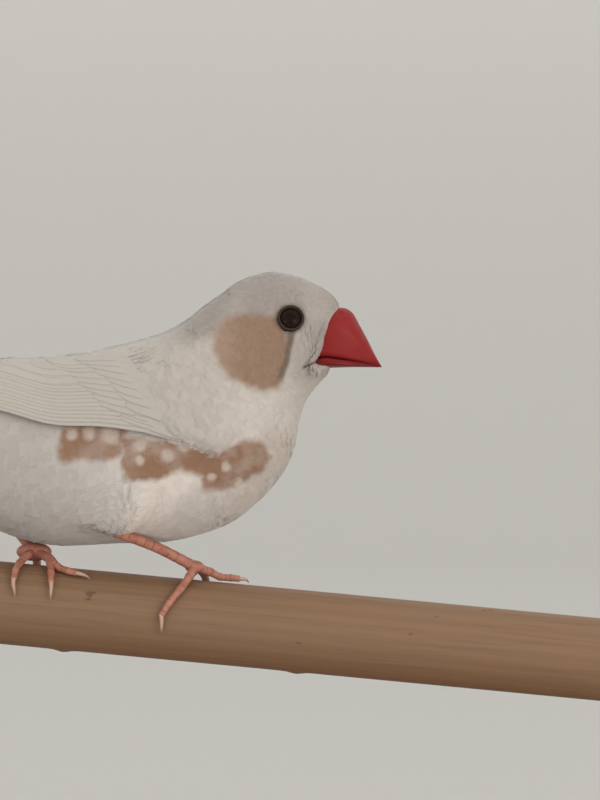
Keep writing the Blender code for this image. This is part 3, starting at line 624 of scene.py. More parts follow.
def skin_rise(x, angle_down):
    """How far the skin swells under and beside the folded wing, and whether the vanes cover it."""
    height = wing_height(x, angle_down)
    if height < -0.5 or not WING_END < x < WING_START:
        return 0.0, False
    front = shoulder_share(x, height)
    top = min(WING_TOP, wing_height(x, 0.0) - WING_TOP_GAP)
    upper = smooth_step((height - top + WING_TOP_FADE) / WING_TOP_FADE)
    cover = (1.0 - crest_share(angle_down)) * SHOULDER_COVER * smooth_step((WING_START - x) / WING_GROWTH)
    margin = -VANE_CLEARANCE + (cover + VANE_CLEARANCE) * front
    margin += (VANE_CLEARANCE - margin) * upper * (1.0 - front)
    edge = smooth_step((height - 0.5 + 0.8 * front) / (2.0 - 0.4 * front))
    rear = smooth_step((x - WING_END) / WING_REAR_FADE)
    bare = height > 2.2 and front < 0.3 and upper < 0.5 and x > WING_LOWER_EDGE[-1][0] + 5.0
    return (wing_rise(x, height, angle_down) + margin) * edge * rear, bare


def mirrored(point, side):
    return Vector((point.x, point.y * side, point.z))


def perch_point(x, angle, lift):
    """A point beside the perch, the angle from its top toward the bird's right side."""
    centre = Vector((x, 0.0, PERCH_HEIGHT - x * math.tan(PERCH_TILT)))
    up = Vector((math.sin(PERCH_TILT), 0.0, math.cos(PERCH_TILT)))
    right = Vector((0.0, -1.0, 0.0))
    radius = PERCH_DIAMETER / 2.0 + lift
    return centre + (up * math.cos(angle) + right * math.sin(angle)) * radius


def mesh_from(name, bm):
    """Makes a smooth mesh of a bmesh, and frees the bmesh."""
    mesh = bpy.data.meshes.new(name)
    bm.to_mesh(mesh)
    bm.free()
    mesh.shade_smooth()
    return mesh


def placed(name, data):
    """An object of a mesh, a lamp or a camera, linked to the scene."""
    item = bpy.data.objects.new(name, data)
    bpy.context.scene.collection.objects.link(item)
    return item


def object_from(name, bm, finish):
    """Makes an object of a bmesh in millimetres, with its place in its mesh, and frees the bmesh."""
    bmesh.ops.recalc_face_normals(bm, faces=bm.faces)
    mesh = mesh_from(name, bm)
    mesh.transform(Matrix.Scale(MM, 4))
    mesh.materials.append(finish)
    return placed(name, mesh)


def mapped_bmesh():
    """An empty bmesh and its UV map."""
    bm = bmesh.new()
    return bm, bm.loops.layers.uv.new("UVMap")


def evaluated_mesh(item):
    """The plain mesh that an object's modifiers make. The modifiers are then removed."""
    evaluated = item.evaluated_get(bpy.context.evaluated_depsgraph_get())
    mesh = bpy.data.meshes.new_from_object(evaluated)
    item.modifiers.clear()
    return mesh


def settle(piece, slot, *nodes):
    """Rides a finished piece on the model and hides the nodes that it stands for. Its slot, meant to name its
    finish, is not used.
    """
    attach(piece, "root")
    if nodes:
        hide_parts(*nodes)


def join_rings(bm, rings, uv=None, caps=True, folded=False):
    """Faces between rings of vertices, with a UV map of shares along and across where one is given.

    A folded map runs across the one face of a flat ring and back over the other.
    """
    count = len(rings[0])
    for i, (near, far) in enumerate(zip(rings[:-1], rings[1:])):
        for j in range(count):
            after = (j + 1) % count
            face = bm.faces.new((near[j], near[after], far[after], far[j]))
            if uv is None:
                continue
            for loop, (a, b) in zip(face.loops, ((i, j), (i, j + 1), (i + 1, j + 1), (i + 1, j))):
                across = b / count
                if folded:
                    across = min(b % count, count - 1 - b % count) / (count / 2.0 - 1.0)
                loop[uv].uv = (a / (len(rings) - 1), across)
    if caps:
        bm.faces.new(rings[0])
        bm.faces.new(rings[-1])


def wrap(bm, places, sides, point_at, caps=True):
    """A body of rings, one for each place, whose points are given by place and angle."""
    rings = [[bm.verts.new(point_at(place, angle)) for angle in turns(sides)] for place in places]
    join_rings(bm, rings, caps=caps)
    return rings


def loft(bm, rows, steps, sides, point_at):
    """A closed body along section rows, with steps between each two."""
    wrap(bm, [k / steps for k in range((len(rows) - 1) * steps + 1)], sides, point_at)


def limb(bm, uv, points, radii, sides=LIMB_SIDES):
    """A closed tube through points, its section carried along without twist."""
    side = Vector((0.0, 1.0, 0.0))
    rings = []
    for k, (point, radius) in enumerate(zip(points, radii)):
        ahead = points[min(k + 1, len(points) - 1)] - points[max(k - 1, 0)]
        side = (side - ahead * side.dot(ahead) / ahead.length_squared).normalized()
        up = ahead.cross(side).normalized()
        around = (point + (side * math.sin(angle) + up * math.cos(angle)) * radius for angle in turns(sides))
        rings.append([bm.verts.new(spot) for spot in around])
    join_rings(bm, rings, uv)


def smooth_points(points, steps):
    """Points read along a smooth curve, with steps between each two."""
    rows = [tuple(point) for point in points]
    return [Vector(blend(rows, k / steps)) for k in range((len(rows) - 1) * steps + 1)]


class Wire:
    """A node's socket that takes part in Python expressions, each of which adds its Math node."""

    def __init__(self, graph, socket):
        self.graph = graph
        self.socket = socket

    def __abs__(self):
        return self.graph.math("ABSOLUTE", self)


def wire_method(operation, swapped):
    """A wire's method for one Python operator, swapped where the wire stands on the right."""
    def method(wire, other):
        values = (other, wire) if swapped else (wire, other)
        return wire.graph.math(operation, *values)

    return method


for word, operation in (("add", "ADD"), ("sub", "SUBTRACT"), ("mul", "MULTIPLY"), ("truediv", "DIVIDE")):
    setattr(Wire, f"__{word}__", wire_method(operation, False))
    setattr(Wire, f"__r{word}__", wire_method(operation, True))


class Graph:
    """A node tree, and the one way in which nodes are added to it."""

    def __init__(self, tree):
        self.tree = tree

    def add(self, kind, settings=None, values=None):
        """Adds a node: first its settings, then the values or wires of its sockets."""
        node = self.tree.nodes.new(kind)
        for name, value in (settings or {}).items():
            setattr(node, name, value)
        for key, value in (values or {}).items():
            if isinstance(value, Wire):
                self.tree.links.new(value.socket, node.inputs[key])
            else:
                node.inputs[key].default_value = value
        return node

    def wire(self, kind, settings=None, values=None, output=0):
        """Adds a node and returns the wire of one of its outputs."""
        return Wire(self, self.add(kind, settings, values).outputs[output])

    def feed(self, **wires):
        """Links wires to the sockets of the material's shader."""
        shader = self.tree.nodes["Principled BSDF"]
        for key, value in wires.items():
            self.tree.links.new(value.socket, shader.inputs[socket_name(key)])

    def math(self, operation, *values):
        return self.wire("ShaderNodeMath", {"operation": operation}, dict(enumerate(values)))

    def join(self, operation, wires, *values):
        """Many wires made one, by a Math node between each two."""
        return functools.reduce(lambda first, second: self.math(operation, first, second, *values), wires)

    def distance(self, x, z, centre):
        """How far the place (x, z) is from a centre."""
        across, up = x - centre[0], z - centre[1]
        return self.math("SQRT", across * across + up * up)

    def vector_math(self, operation, *values):
        return self.wire("ShaderNodeVectorMath", {"operation": operation}, dict(enumerate(values)))

    def combine(self, x, y, z):
        return self.wire("ShaderNodeCombineXYZ", None, {0: x, 1: y, 2: z})

    def split(self, vector):
        node = self.add("ShaderNodeSeparateXYZ", None, {0: vector})
        return [Wire(self, node.outputs[k]) for k in range(3)]

    def scaled(self, vector, *scale):
        """A vector scaled along each axis."""
        return self.wire("ShaderNodeMapping", None, {"Vector": vector, "Scale": scale})

    def smooth(self, value, low, high):
        """0 below low, 1 above high, and a smooth step between them."""
        ranges = {"Value": value, "From Min": low, "From Max": high}
        return self.wire("ShaderNodeMapRange", {"interpolation_type": "SMOOTHSTEP"}, ranges)

    def noise(self, vector, scale, detail, output=0):
        values = {"Vector": vector, "Scale": scale, "Detail": detail}
        return self.wire("ShaderNodeTexNoise", None, values, output)

    def mix(self, share, first, second, blend_type="MIX"):
        """A mix of two colours, each given as a wire or as plain numbers."""
        settings = {"data_type": "RGBA", "blend_type": blend_type}
        return self.wire("ShaderNodeMix", settings, {0: share, 6: opaque(first), 7: opaque(second)}, 2)

    def tint(self, share, first, second):
        """A colour multiplied by another, by a share."""
        return self.mix(share, first, second, "MULTIPLY")

    def over(self, colour, *layers):
        """A colour with others laid over it in turn, each given with its share."""
        for share, layer in layers:
            colour = self.mix(share, colour, layer)
        return colour

    def attribute(self, name):
        """A stored number of each point."""
        return self.wire("ShaderNodeAttribute", {"attribute_name": name}, None, 2)

    def place(self):
        """Object coordinates in metres."""
        return self.wire("ShaderNodeTexCoord", None, None, 3)

    def millimetres(self, place):
        """The x, y and z of a place, turned from metres into millimetres."""
        return [wire / MM for wire in self.split(place)]

    def uv_shares(self):
        """The shares along and across a feather, a toe or a claw."""
        return self.split(self.wire("ShaderNodeUVMap", {"uv_map": "UVMap"}))[:2]

    def bump(self, height, depth, strength):
        values = {"Height": height, "Distance": depth, "Strength": strength}
        return self.wire("ShaderNodeBump", None, values)


def opaque(colour):
    """A colour of three numbers with its alpha. A wire stays as it is."""
    return colour if isinstance(colour, Wire) else (*colour, 1.0)


def socket_name(key):
    """A shader socket's name, from its keyword."""
    return key.replace("_", " ").title().replace("Ior", "IOR")


def new_material(name, **values):
    """A Principled material with its fixed values, and its graph."""
    made = bpy.data.materials.new(name)
    made.use_nodes = True
    shader = made.node_tree.nodes["Principled BSDF"]
    for key, value in values.items():
        shader.inputs[socket_name(key)].default_value = value
    return made, Graph(made.node_tree)


def inside(graph, x, z, outline, soft):
    """A mask that is 1 inside a convex outline and fades over its soft edge."""
    distances = []
    for (ax, az), (bx, bz) in zip(outline, outline[1:] + outline[:1]):
        length = math.hypot(bx - ax, bz - az)
        out_x, out_z = (bz - az) / length, (ax - bx) / length
        distances.append(x * out_x + z * out_z - (ax * out_x + az * out_z))
    return 1.0 - graph.smooth(graph.join("SMOOTH_MAX", distances, OUTLINE_ROUNDING), -soft, soft)


def plumage_colour(graph, settings):
    """The markings of the body's feathers, read from where they are on the bird."""
    place = graph.place()
    plain_x, plain_y, plain_z = graph.millimetres(place)
    x = plain_x + (graph.noise(place, 600.0, 3.0) - 0.5) * 1.1
    z = plain_z + (graph.noise(place, 500.0, 3.0) - 0.5) * 1.1
    y = abs(plain_y)
    side = graph.smooth(y, 2.0, 4.5)

    # Soft ground tones, each a mask that fades over a stretch of x or z
    # Painted shade that darkens the rear belly behind the legs
    vent = graph.smooth(x, -22.0, -42.0)
    back = graph.smooth(z, 66.0, 84.0)
    breast = graph.smooth(x - z * 0.35, -37.0, -26.0) * (1.0 - back)
    crown = graph.smooth(z - x * 0.3, 82.5, 88.0) * graph.smooth(x, -24.0, -15.0)
    crown = crown * (1.0 - graph.smooth(x, -3.0, 3.0) * 0.4)
    face = graph.smooth(x, -2.5, -0.5) * graph.smooth(z, 75.0, 78.0) * (1.0 - graph.smooth(z, 84.0, 88.0))
    lores = 1.0 - graph.smooth(graph.distance(x, z, LORES), 0.8, 2.6)
    shoulder = graph.attribute("shoulder")
    nape = graph.smooth(z - x * 0.3, 85.5, 88.5) * graph.smooth(x, -21.0, -15.0)
    nape = nape * graph.smooth(x, -9.0, -13.0)

    # Markings with an outline
    cheek = inside(graph, x, z, CHEEK, 0.9) * side
    tan = graph.mix(graph.smooth(x, -8.0, -12.5) * 0.6, settings.cheek_colour, settings.cheek_rim)
    tear = tear_line(graph, x * 0.4 + plain_x * 0.6, plain_z) * side
    halo = (1.0 - graph.smooth(graph.distance(plain_x, plain_z, EYE_PLACE), 1.7, 2.7)) * side
    bib = inside(graph, x, z, BREAST_BAND, 1.6)
    # Painted highlight over the near (right) thigh only
    thigh = inside(graph, x, z, NEAR_THIGH_HIGHLIGHT, 1.2) * graph.smooth(plain_y, -4.0, -7.0)
    wide_x = x + (graph.noise(place, 230.0, 2.0) - 0.5) * 3.2
    wide_z = z + (graph.noise(place, 280.0, 2.0, 1) - 0.5) * 2.4
    blocks = [inside(graph, wide_x, wide_z, outline, 0.75) for outline in FLANK_BLOCKS]
    flank = graph.join("MAXIMUM", blocks) * graph.smooth(y, 5.5, 8.5) * (1.0 - shoulder)
    patchy = graph.smooth(graph.noise(place, 260.0, 4.0), 0.36, 0.6)

    return graph.over(
        settings.belly_colour,
        (vent, settings.rear_belly_shade_colour),
        (back, settings.back_colour),
        (breast * 0.7, settings.breast_colour),
        (crown, settings.crown_colour),
        (face * 0.85, settings.face_colour),
        (lores * 0.6, settings.crown_colour),
        (shoulder, settings.shoulder_colour),
        (nape * 0.85, settings.nape_colour),
        (cheek, tan),
        (tear, settings.tear_colour),
        (halo * 0.8, settings.tear_colour),
        (gape_shadow_line(graph, plain_x, plain_z), settings.gape_shadow_colour),
        (bib * 0.35, settings.bar_colour),
        (thigh * 0.8, settings.thigh_highlight_colour),
        (flank * (0.74 + 0.26 * patchy), settings.flank_colour),
        (flank * flank_spots(graph, x, z) * 0.8, settings.spot_colour),
        (tail_bars(graph, plain_x, z), settings.bar_colour),
    )


def gape_shadow_line(graph, x, z):
    """Painted shadow in the short crease behind the corner of the bill."""
    (rear_x, rear_z), (front_x, front_z) = GAPE
    slope = (front_z - rear_z) / (front_x - rear_x)
    away = abs(z - rear_z - (x - rear_x) * slope)
    along = graph.smooth(x, rear_x - 0.3, rear_x + 0.5) * (1.0 - graph.smooth(x, front_x, front_x + 0.4))
    return (1.0 - graph.smooth(away, 0.1, 0.35)) * along * 0.8


def tear_line(graph, x, z):
    """The soft dark line that runs down from the eye along the cheek's front edge."""
    bend_x, bend_z = TEAR_BEND
    above = graph.math("MAXIMUM", z - bend_z, 0.0)
    below = graph.math("MAXIMUM", bend_z - z, 0.0)
    away = abs(x - bend_x - above * TEAR_SLOPES[0] + below * TEAR_SLOPES[1])
    line = 1.0 - graph.smooth(away, 0.15, 0.85)
    return line * graph.smooth(z, *TEAR_FOOT) * (1.0 - graph.smooth(z, *TEAR_TOP)) * 0.85


def flank_spots(graph, x, z):
    """The soft pale spots that scallop the flank under the wing."""
    spots = []
    for spot_x, spot_z, radius in FLANK_SPOTS:
        away = graph.distance(x, z, (spot_x, spot_z))
        spots.append(1.0 - graph.smooth(away, radius * 0.35, radius * 1.3))
    return graph.join("MAXIMUM", spots)


def tail_bars(graph, x, z):
    """Faint grey-brown bars across the long coverts over the tail's root."""
    wave = graph.math("SINE", x * (2.0 * math.pi / BAR_GAP))
    region = graph.smooth(x, *BAR_START) * graph.smooth(z, *BAR_FOOT)
    return graph.smooth(wave, 0.0, 0.5) * region * 0.55


def plumage_material(name, settings, tufted):
    """The finish of body feathers, with the shade of each tuft and a paler tip where it is tufted."""
    made, graph = new_material(
        name, roughness=0.78, sheen_weight=0.25, sheen_roughness=0.5, specular_ior_level=0.25)
    colour = plumage_colour(graph, settings)
    if tufted:
        light = 0.86 + graph.attribute("shade") * 0.12 + graph.attribute("tip") * 0.1
        colour = graph.tint(1.0, colour, graph.combine(light, light, light))
    else:
        fine = graph.noise(graph.place(), 2600.0, 3.0)
        graph.feed(normal=graph.bump(fine, 0.00015, 0.5))
    graph.feed(base_color=colour)
    return made


def tuft_object(name, strands, seed):
    """One small feather, 1 long along +Y from its root: a thin cupped vane whose tip parts in strands."""
    draw = random.Random(seed)
    bm = bmesh.new()
    uv = bm.loops.layers.uv.new("tuft_uv")
    tip_layer = bm.verts.layers.float.new("tip")

    def point(x, along, lift):
        arch = TUFT_ARCH * math.sin(math.pi * along) - TUFT_CUP * x * x - TUFT_DROOP * along * along
        vertex = bm.verts.new((x, along, arch + lift))
        vertex[tip_layer] = along
        return vertex

    tops, lows = [], []
    for along, half in TUFT_OUTLINE:
        places = [half * (2.0 * j / strands - 1.0) for j in range(strands + 1)]
        top = [point(x, along, 0.0) for x in places]
        low = [point(x, along, -TUFT_THICKNESS) for x in places[1:-1]]
        tops.append(top)
        lows.append([top[0], *low, top[-1]])
    for i in range(len(TUFT_OUTLINE) - 1):
        for near, far in ((tops[i], tops[i + 1]), (lows[i], lows[i + 1])):
            for j in range(strands):
                bm.faces.new((near[j], near[j + 1], far[j + 1], far[j]))
    bm.faces.new([*tops[0], *reversed(lows[0][1:-1])])
    top, low = tops[-1], lows[-1]
    for j in range(strands):
        aside = (2.0 * j + 1.0) / strands - 1.0
        along = 1.0 - 0.2 * aside * aside - draw.uniform(0.0, 0.07)
        end = point(aside * TUFT_TIP_WIDTH + draw.uniform(-0.02, 0.02), along, -0.01)
        bm.faces.new((top[j], top[j + 1], end))
        bm.faces.new((low[j + 1], low[j], end))
        for k in (j, j + 1):
            if 0 < k < strands:
                bm.faces.new((top[k], low[k], end))
    for face in bm.faces:
        for loop in face.loops:
            loop[uv].uv = (loop.vert.co.x + 0.5, loop.vert.co.y)
    bmesh.ops.recalc_face_normals(bm, faces=bm.faces)
    return bpy.data.objects.new(name, mesh_from(name, bm))


def coat_tree():
    """Geometry Nodes that set tufts on one region of a skin, along its lie, as one real mesh."""
    tree = bpy.data.node_groups.new("Feather coat", "GeometryNodeTree")
    sockets = {
        "Geometry": "NodeSocketGeometry", "Region": "NodeSocketInt", "Tufts": "NodeSocketCollection",
        "Finish": "NodeSocketMaterial", "Spacing": "NodeSocketFloat", "Lift": "NodeSocketFloat",
        "Unevenness": "NodeSocketFloat", "Silkiness": "NodeSocketFloat", "Seed": "NodeSocketInt",
    }
    for name, kind in sockets.items():
        tree.interface.new_socket(name, in_out="INPUT", socket_type=kind)
    tree.interface.new_socket("Geometry", in_out="OUTPUT", socket_type="NodeSocketGeometry")
    graph = Graph(tree)
    entry = graph.add("NodeGroupInput")
    given = {name: Wire(graph, entry.outputs[name]) for name in sockets}

    def named(name, kind="FLOAT_VECTOR"):
        return graph.wire("GeometryNodeInputNamedAttribute", {"data_type": kind}, {"Name": name})

    def draw(low, high, offset):
        values = {2: low, 3: high, "Seed": given["Seed"] + offset}
        return graph.wire("FunctionNodeRandomValue", {"data_type": "FLOAT"}, values, 1)

    def stored(geometry, name, kind, domain, value):
        values = {"Geometry": geometry, "Name": name, "Value": value}
        return graph.wire("GeometryNodeStoreNamedAttribute", {"data_type": kind, "domain": domain}, values)

    same = graph.wire(
        "FunctionNodeCompare", {"data_type": "INT", "operation": "EQUAL"},
        {2: named("region", "INT"), 3: given["Region"]})
    scatter = graph.add(
        "GeometryNodeDistributePointsOnFaces", {"distribute_method": "POISSON"},
        {"Mesh": given["Geometry"], "Selection": same, "Distance Min": given["Spacing"],
         "Density Max": POINTS_TRIED / (given["Spacing"] * given["Spacing"]),
         "Density Factor": named("cover", "FLOAT"), "Seed": given["Seed"]})
    normal = Wire(graph, scatter.outputs["Normal"])
    points = stored(Wire(graph, scatter.outputs["Points"]), "shade", "FLOAT", "POINT", draw(0.0, 1.0, 1))
    points = stored(points, "outward", "FLOAT_VECTOR", "POINT", normal)

    lie = graph.wire(
        "FunctionNodeAxesToRotation", {"primary_axis": "Z", "secondary_axis": "Y"},
        {0: normal, 1: named("lie")})
    uneven = given["Unevenness"]
    spreads = enumerate((PITCH_SPREAD, ROLL_SPREAD, TURN_SPREAD), 2)
    pitch, roll, turn = [draw(-spread, spread, offset) * uneven for offset, spread in spreads]
    angles = graph.combine(given["Lift"] + pitch, roll, turn)
    stray = graph.wire("FunctionNodeEulerToRotation", None, {0: angles})
    rotation = graph.wire(
        "FunctionNodeRotateRotation", {"rotation_space": "LOCAL"}, {"Rotation": lie, "Rotate By": stray})
    length = named("length", "FLOAT") * draw(*LENGTH_RANGE, 5)
    tufts = graph.wire(
        "GeometryNodeCollectionInfo", None,
        {"Collection": given["Tufts"], "Separate Children": True, "Reset Children": True})
    instances = graph.wire(
        "GeometryNodeInstanceOnPoints", None,
        {"Points": points, "Instance": tufts, "Pick Instance": True, "Rotation": rotation,
         "Scale": graph.combine(length, length, length)})
    real = graph.wire("GeometryNodeRealizeInstances", None, {"Geometry": instances})
    centred = graph.vector_math("SUBTRACT", named("tuft_uv"), (0.5, 0.5, 0.0))
    patch = graph.wire("ShaderNodeVectorMath", {"operation": "SCALE"}, {0: centred, "Scale": TUFT_PATCH})
    mapped = graph.vector_math("ADD", named("root_uv"), patch)
    real = stored(real, "OFBake", "FLOAT2", "CORNER", mapped)

    # The upper faces take their light mostly as the skin under them would
    own = graph.wire("GeometryNodeInputNormal")
    outward = named("outward")
    facing = graph.wire("ShaderNodeVectorMath", {"operation": "DOT_PRODUCT"}, {0: own, 1: outward}, 1)
    share = graph.smooth(facing, -0.6, -0.2) * given["Silkiness"]
    silky = graph.wire("ShaderNodeMix", {"data_type": "VECTOR"}, {0: share, 4: own, 5: outward}, 1)
    real = graph.wire(
        "GeometryNodeSetMeshNormal", {"mode": "FREE", "domain": "CORNER"},
        {"Mesh": real, "Custom Normal": graph.vector_math("NORMALIZE", silky)})
    real = graph.wire("GeometryNodeSetMaterial", None, {"Geometry": real, "Material": given["Finish"]})
    graph.add("NodeGroupOutput", None, {"Geometry": real})
    return tree


def grow_coat(name, skin, region, spacing, tufts, finish, settings):
    """Runs the coat's tree on one region of a skin, and keeps the result as a plain mesh."""
    tree = bpy.data.node_groups.get("Feather coat") or coat_tree()
    growth = skin.modifiers.new("coat", "NODES")
    growth.node_group = tree
    values = {
        "Region": region, "Tufts": tufts, "Finish": finish, "Spacing": spacing * MM,
        "Lift": settings.feather_lift, "Unevenness": settings.unevenness,
        "Silkiness": settings.silkiness, "Seed": settings.seed + 10 * region,
    }
    for socket in tree.interface.items_tree:
        if socket.in_out == "INPUT" and socket.name in values:
            growth[socket.identifier] = values[socket.name]
    mesh = evaluated_mesh(skin)
    for spare in ("lie", "length", "cover", "region", "root_uv", "tuft_uv", "outward"):
        if spare in mesh.attributes:
            mesh.attributes.remove(mesh.attributes[spare])
    settle(placed(name, mesh), "plumage")


class TrunkMap:
    """Finds where on the trunk a point lies."""

    STEPS, ANGLES = 8, 180

    def __init__(self):
        places = [k / self.STEPS for k in range(int(TRUNK_END) * self.STEPS + 1)]
        angles = [math.radians(k * 360.0 / self.ANGLES) for k in range(self.ANGLES)]
        self.spots = [(place, angle) for place in places for angle in angles]
        self.points = [trunk_point(place, angle) for place, angle in self.spots]
        self.normals = [trunk_normal(place, angle) for place, angle in self.spots]
        self.tree = kdtree.KDTree(len(self.spots))
        for index, point in enumerate(self.points):
            self.tree.insert(point, index)
        self.tree.balance()

    def find(self, point):
        """The place, the angle and how far outside the trunk's surface a point is."""
        _co, index, _away = self.tree.find(point)
        return *self.spots[index], (point - self.points[index]).dot(self.normals[index])


def lie_at(place, angle):
    """The way the feathers lie: along the trunk, from the bill to the tail."""
    small = 0.05
    place = clamp(place, small, TRUNK_END - small)
    return (trunk_point(place - small, angle) - trunk_point(place + small, angle)).normalized()


def thigh_axis(point):
    """How far a point is from the nearer thigh's line, in its radii, and the way down that line."""
    best = None
    for thigh, *_rest in LEGS.values():
        for (ax, ay, az, a_radius), (bx, by, bz, b_radius) in zip(thigh[:-1], thigh[1:]):
            start, end = Vector((ax, ay, az)), Vector((bx, by, bz))
            along = end - start
            share = clamp((point - start).dot(along) / along.length_squared)
            radius = a_radius + (b_radius - a_radius) * share
            away = (point - start - along * share).length / radius
            if best is None or away < best[0]:
                best = (away, along.normalized())
    return best


def coat_cover(point, angle_down):
    """How much of a spot on the skin is feathered: none round the eye, on the bill and under a wing."""
    eye = mirrored(EYE_CENTRE, math.copysign(1.0, point.y))
    if (point - eye).length < EYE_BARE_RADIUS:
        return 0.0
    if BILL_EDGE[-1][0] < point.z < BILL_EDGE[0][0] and point.x > value_between(BILL_EDGE, point.z):
        return 0.0
    return 0.0 if skin_rise(point.x, angle_down)[1] else 1.0


def region_of(place, angle_down):
    """The number of the coat region that holds a spot of the trunk."""
    for number, (low, high, top, bottom, _spacing) in enumerate(COAT_REGIONS.values()):
        if low <= place <= high and top <= angle_down <= bottom:
            return number
    return len(COAT_REGIONS) - 1


def write_skin_attributes(skin):
    """Stores on the skin what the coat reads: its lie, length, cover, region and unwrap."""
    mesh = skin.data
    trunk = TrunkMap()
    lies, lengths, covers, shoulders, spots, on_thigh = [], [], [], [], [], []
    for vertex in mesh.vertices:
        point = vertex.co / MM
        place, angle, away = trunk.find(point)
        angle_down = down_from_back(angle)
        radii, down_leg = thigh_axis(point)
        # The thigh's feathers begin where it stands off the trunk, and the chin's behind the gape
        leg = smooth_step((away + 0.1) / 1.6) * smooth_step((1.6 - radii) / 0.5)
        chin = smooth_step((place - 15.5) / 1.5) * smooth_step((angle_down - 100.0) / 30.0)
        lie = lie_at(place, angle).lerp(down_leg, leg * 0.8).lerp(Vector(CHIN_LIE), chin)
        body_length = value_between(FEATHER_LENGTHS, place)
        lies.extend(lie)
        length = (body_length + (THIGH_FEATHER_LENGTH - body_length) * leg) * (1.0 - 0.4 * chin)
        lengths.append(length * MM)
        covers.append(coat_cover(point, angle_down))
        # The wing's colour lies over its own feathers, and not on the crest of the back
        height = wing_height(point.x, angle_down)
        grown = smooth_step((WING_START - 2.0 - point.x) / 8.0) * smooth_step((height + 0.1) / 0.8)
        shoulders.append(grown * (1.0 - crest_share(angle_down)) if point.x > WING_END else 0.0)
        spots.append((place, angle, angle_down))
        on_thigh.append(leg > 0.3)
    store(mesh, "lie", "FLOAT_VECTOR", "POINT", lies, "vector")
    store(mesh, "length", "FLOAT", "POINT", lengths)
    store(mesh, "cover", "FLOAT", "POINT", covers)
    store(mesh, "shoulder", "FLOAT", "POINT", shoulders)

    regions, unwrap = [], []
    for polygon in mesh.polygons:
        corners = polygon.vertices
        place, _angle, angle_down = spots[corners[0]]
        thigh = sum(on_thigh[k] for k in corners) * 2 > len(corners)
        regions.append(len(COAT_REGIONS) if thigh else region_of(place, angle_down))
        around = [spots[k][1] / (2.0 * math.pi) for k in corners]
        for share, k in zip(around, corners):
            across = 1.0 if max(around) - share > 0.5 else share
            unwrap.extend((across, spots[k][0] / TRUNK_END, 0.0))
    store(mesh, "region", "INT", "FACE", regions)
    store(mesh, "root_uv", "FLOAT_VECTOR", "CORNER", unwrap, "vector")


def store(mesh, name, kind, domain, values, field="value"):
    mesh.attributes.new(name, kind, domain).data.foreach_set(field, values)


def wing_frame(x, height):
    """The trunk's skin under a folded wing, the way out of it and the wing's rise, on the left side."""
    edge = math.radians(value_between(WING_LOWER_EDGE, x))
    angle = edge - height / value_between(WING_SPEEDS, x)
    place = trunk_place(x, angle)
    return trunk_point(place, angle), trunk_normal(place, angle), wing_rise(x, height, math.degrees(angle))


def vane_share(kind, along):
    """Half of a feather's width at a share of its length, as a share of its full half width."""
    root = 0.3 + 0.7 * (1.0 - math.exp(-along / 0.09))
    blunt = 9.0 if kind == "flight" else 4.0
    return root * math.sqrt(max(1.0 - along ** blunt, 0.0)) + 0.03


def add_vane(bm, uv, kind, place):
    """A closed feather: a thin blade with a raised shaft.

    Its place function takes the share along, and the place across from -1 to 1 times the outline's
    share there. It returns a point of the blade's middle and the way out of the blade.
    """
    rings = []
    for i in range(VANE_ALONG + 1):
        along = 1.0 - (1.0 - i / VANE_ALONG) ** 1.4
        share = vane_share(kind, along)
        top, low = [], []
        for j in range(VANE_ACROSS + 1):
            across = 2.0 * j / VANE_ACROSS - 1.0
            shaft = max(1.0 - abs(across) / SHAFT_SHARE, 0.0) * SHAFT_HEIGHT * (1.0 - along)
            edge = VANE_THICKNESS / 2.0 * (1.0 - 0.6 * max(abs(across) ** 3, along ** 8))
            middle, outward = place(along, across * share)
            top.append(bm.verts.new(middle + outward * (edge + shaft)))
            low.append(bm.verts.new(middle - outward * edge))
        rings.append(top + low[::-1])
    join_rings(bm, rings, uv, folded=True)


def add_wing_tier(bm, uv, name, draw):
    """One tier of overlapping wing feathers, lying on the left side of the trunk."""
    count, kind, layer, first, last = WING_TIERS[name]
    for k in range(count):
        root_x, root_height, tip_x, tip_height, width = mix(first, last, k / max(count - 1, 1))
        tip_x += draw.uniform(-VANE_JITTER, VANE_JITTER)
        tip_height += draw.uniform(-VANE_JITTER, VANE_JITTER) * 0.5

        def place(along, across):
            x = root_x + (tip_x - root_x) * along
            offset = across * width / 2.0
            height = root_height + (tip_height - root_height) * along + offset
            run = min((root_x - x) / VANE_ROOT_RUN, 1.0)
            sunk = VANE_ROOT_DROP * (1.0 - math.sin(run * math.pi / 2.0))
            on_skin, outward, rise = wing_frame(x, height)
            return on_skin + outward * (rise + layer - VANE_OVERLAP * offset - sunk), outward

        add_vane(bm, uv, kind, place)


def mirrored_copy(item, name):
    """A copy of a left piece for the right side."""
    bm = bmesh.new()
    bm.from_mesh(item.data)
    bmesh.ops.scale(bm, vec=(1.0 / MM, -1.0 / MM, 1.0 / MM), verts=bm.verts)
    return object_from(name, bm, item.data.materials[0])


def vane_material(name, settings, barred):
    """The finish of vaned feathers: fine slanting barbs, a darker shaft and paler edges."""
    made, graph = new_material(name, roughness=0.62, sheen_weight=0.15, specular_ior_level=0.3)
    along, across = graph.uv_shares()
    aside = abs(across - 0.5) * 2.0
    barbs = graph.math("SINE", (along - aside * 0.05) * settings.barbs_per_vane)
    grain = graph.noise(graph.place(), 900.0, 3.0)
    colour = graph.over(
        settings.vane_colour,
        (graph.smooth(aside, 0.55, 1.0), settings.edge_colour),
        ((1.0 - graph.smooth(aside, 0.03, 0.12)) * 0.5, settings.shaft_colour),
        (graph.smooth(grain, 0.35, 0.75) * 0.25, settings.shaft_colour),
    )
    if barred:
        x, _y, z = graph.millimetres(graph.place())
        colour = graph.mix(tail_bars(graph, x, z), colour, settings.bar_colour)
    graph.feed(base_color=colour, normal=graph.bump(barbs * 0.5 + grain * 0.6, 0.00003, 0.6))
    return made


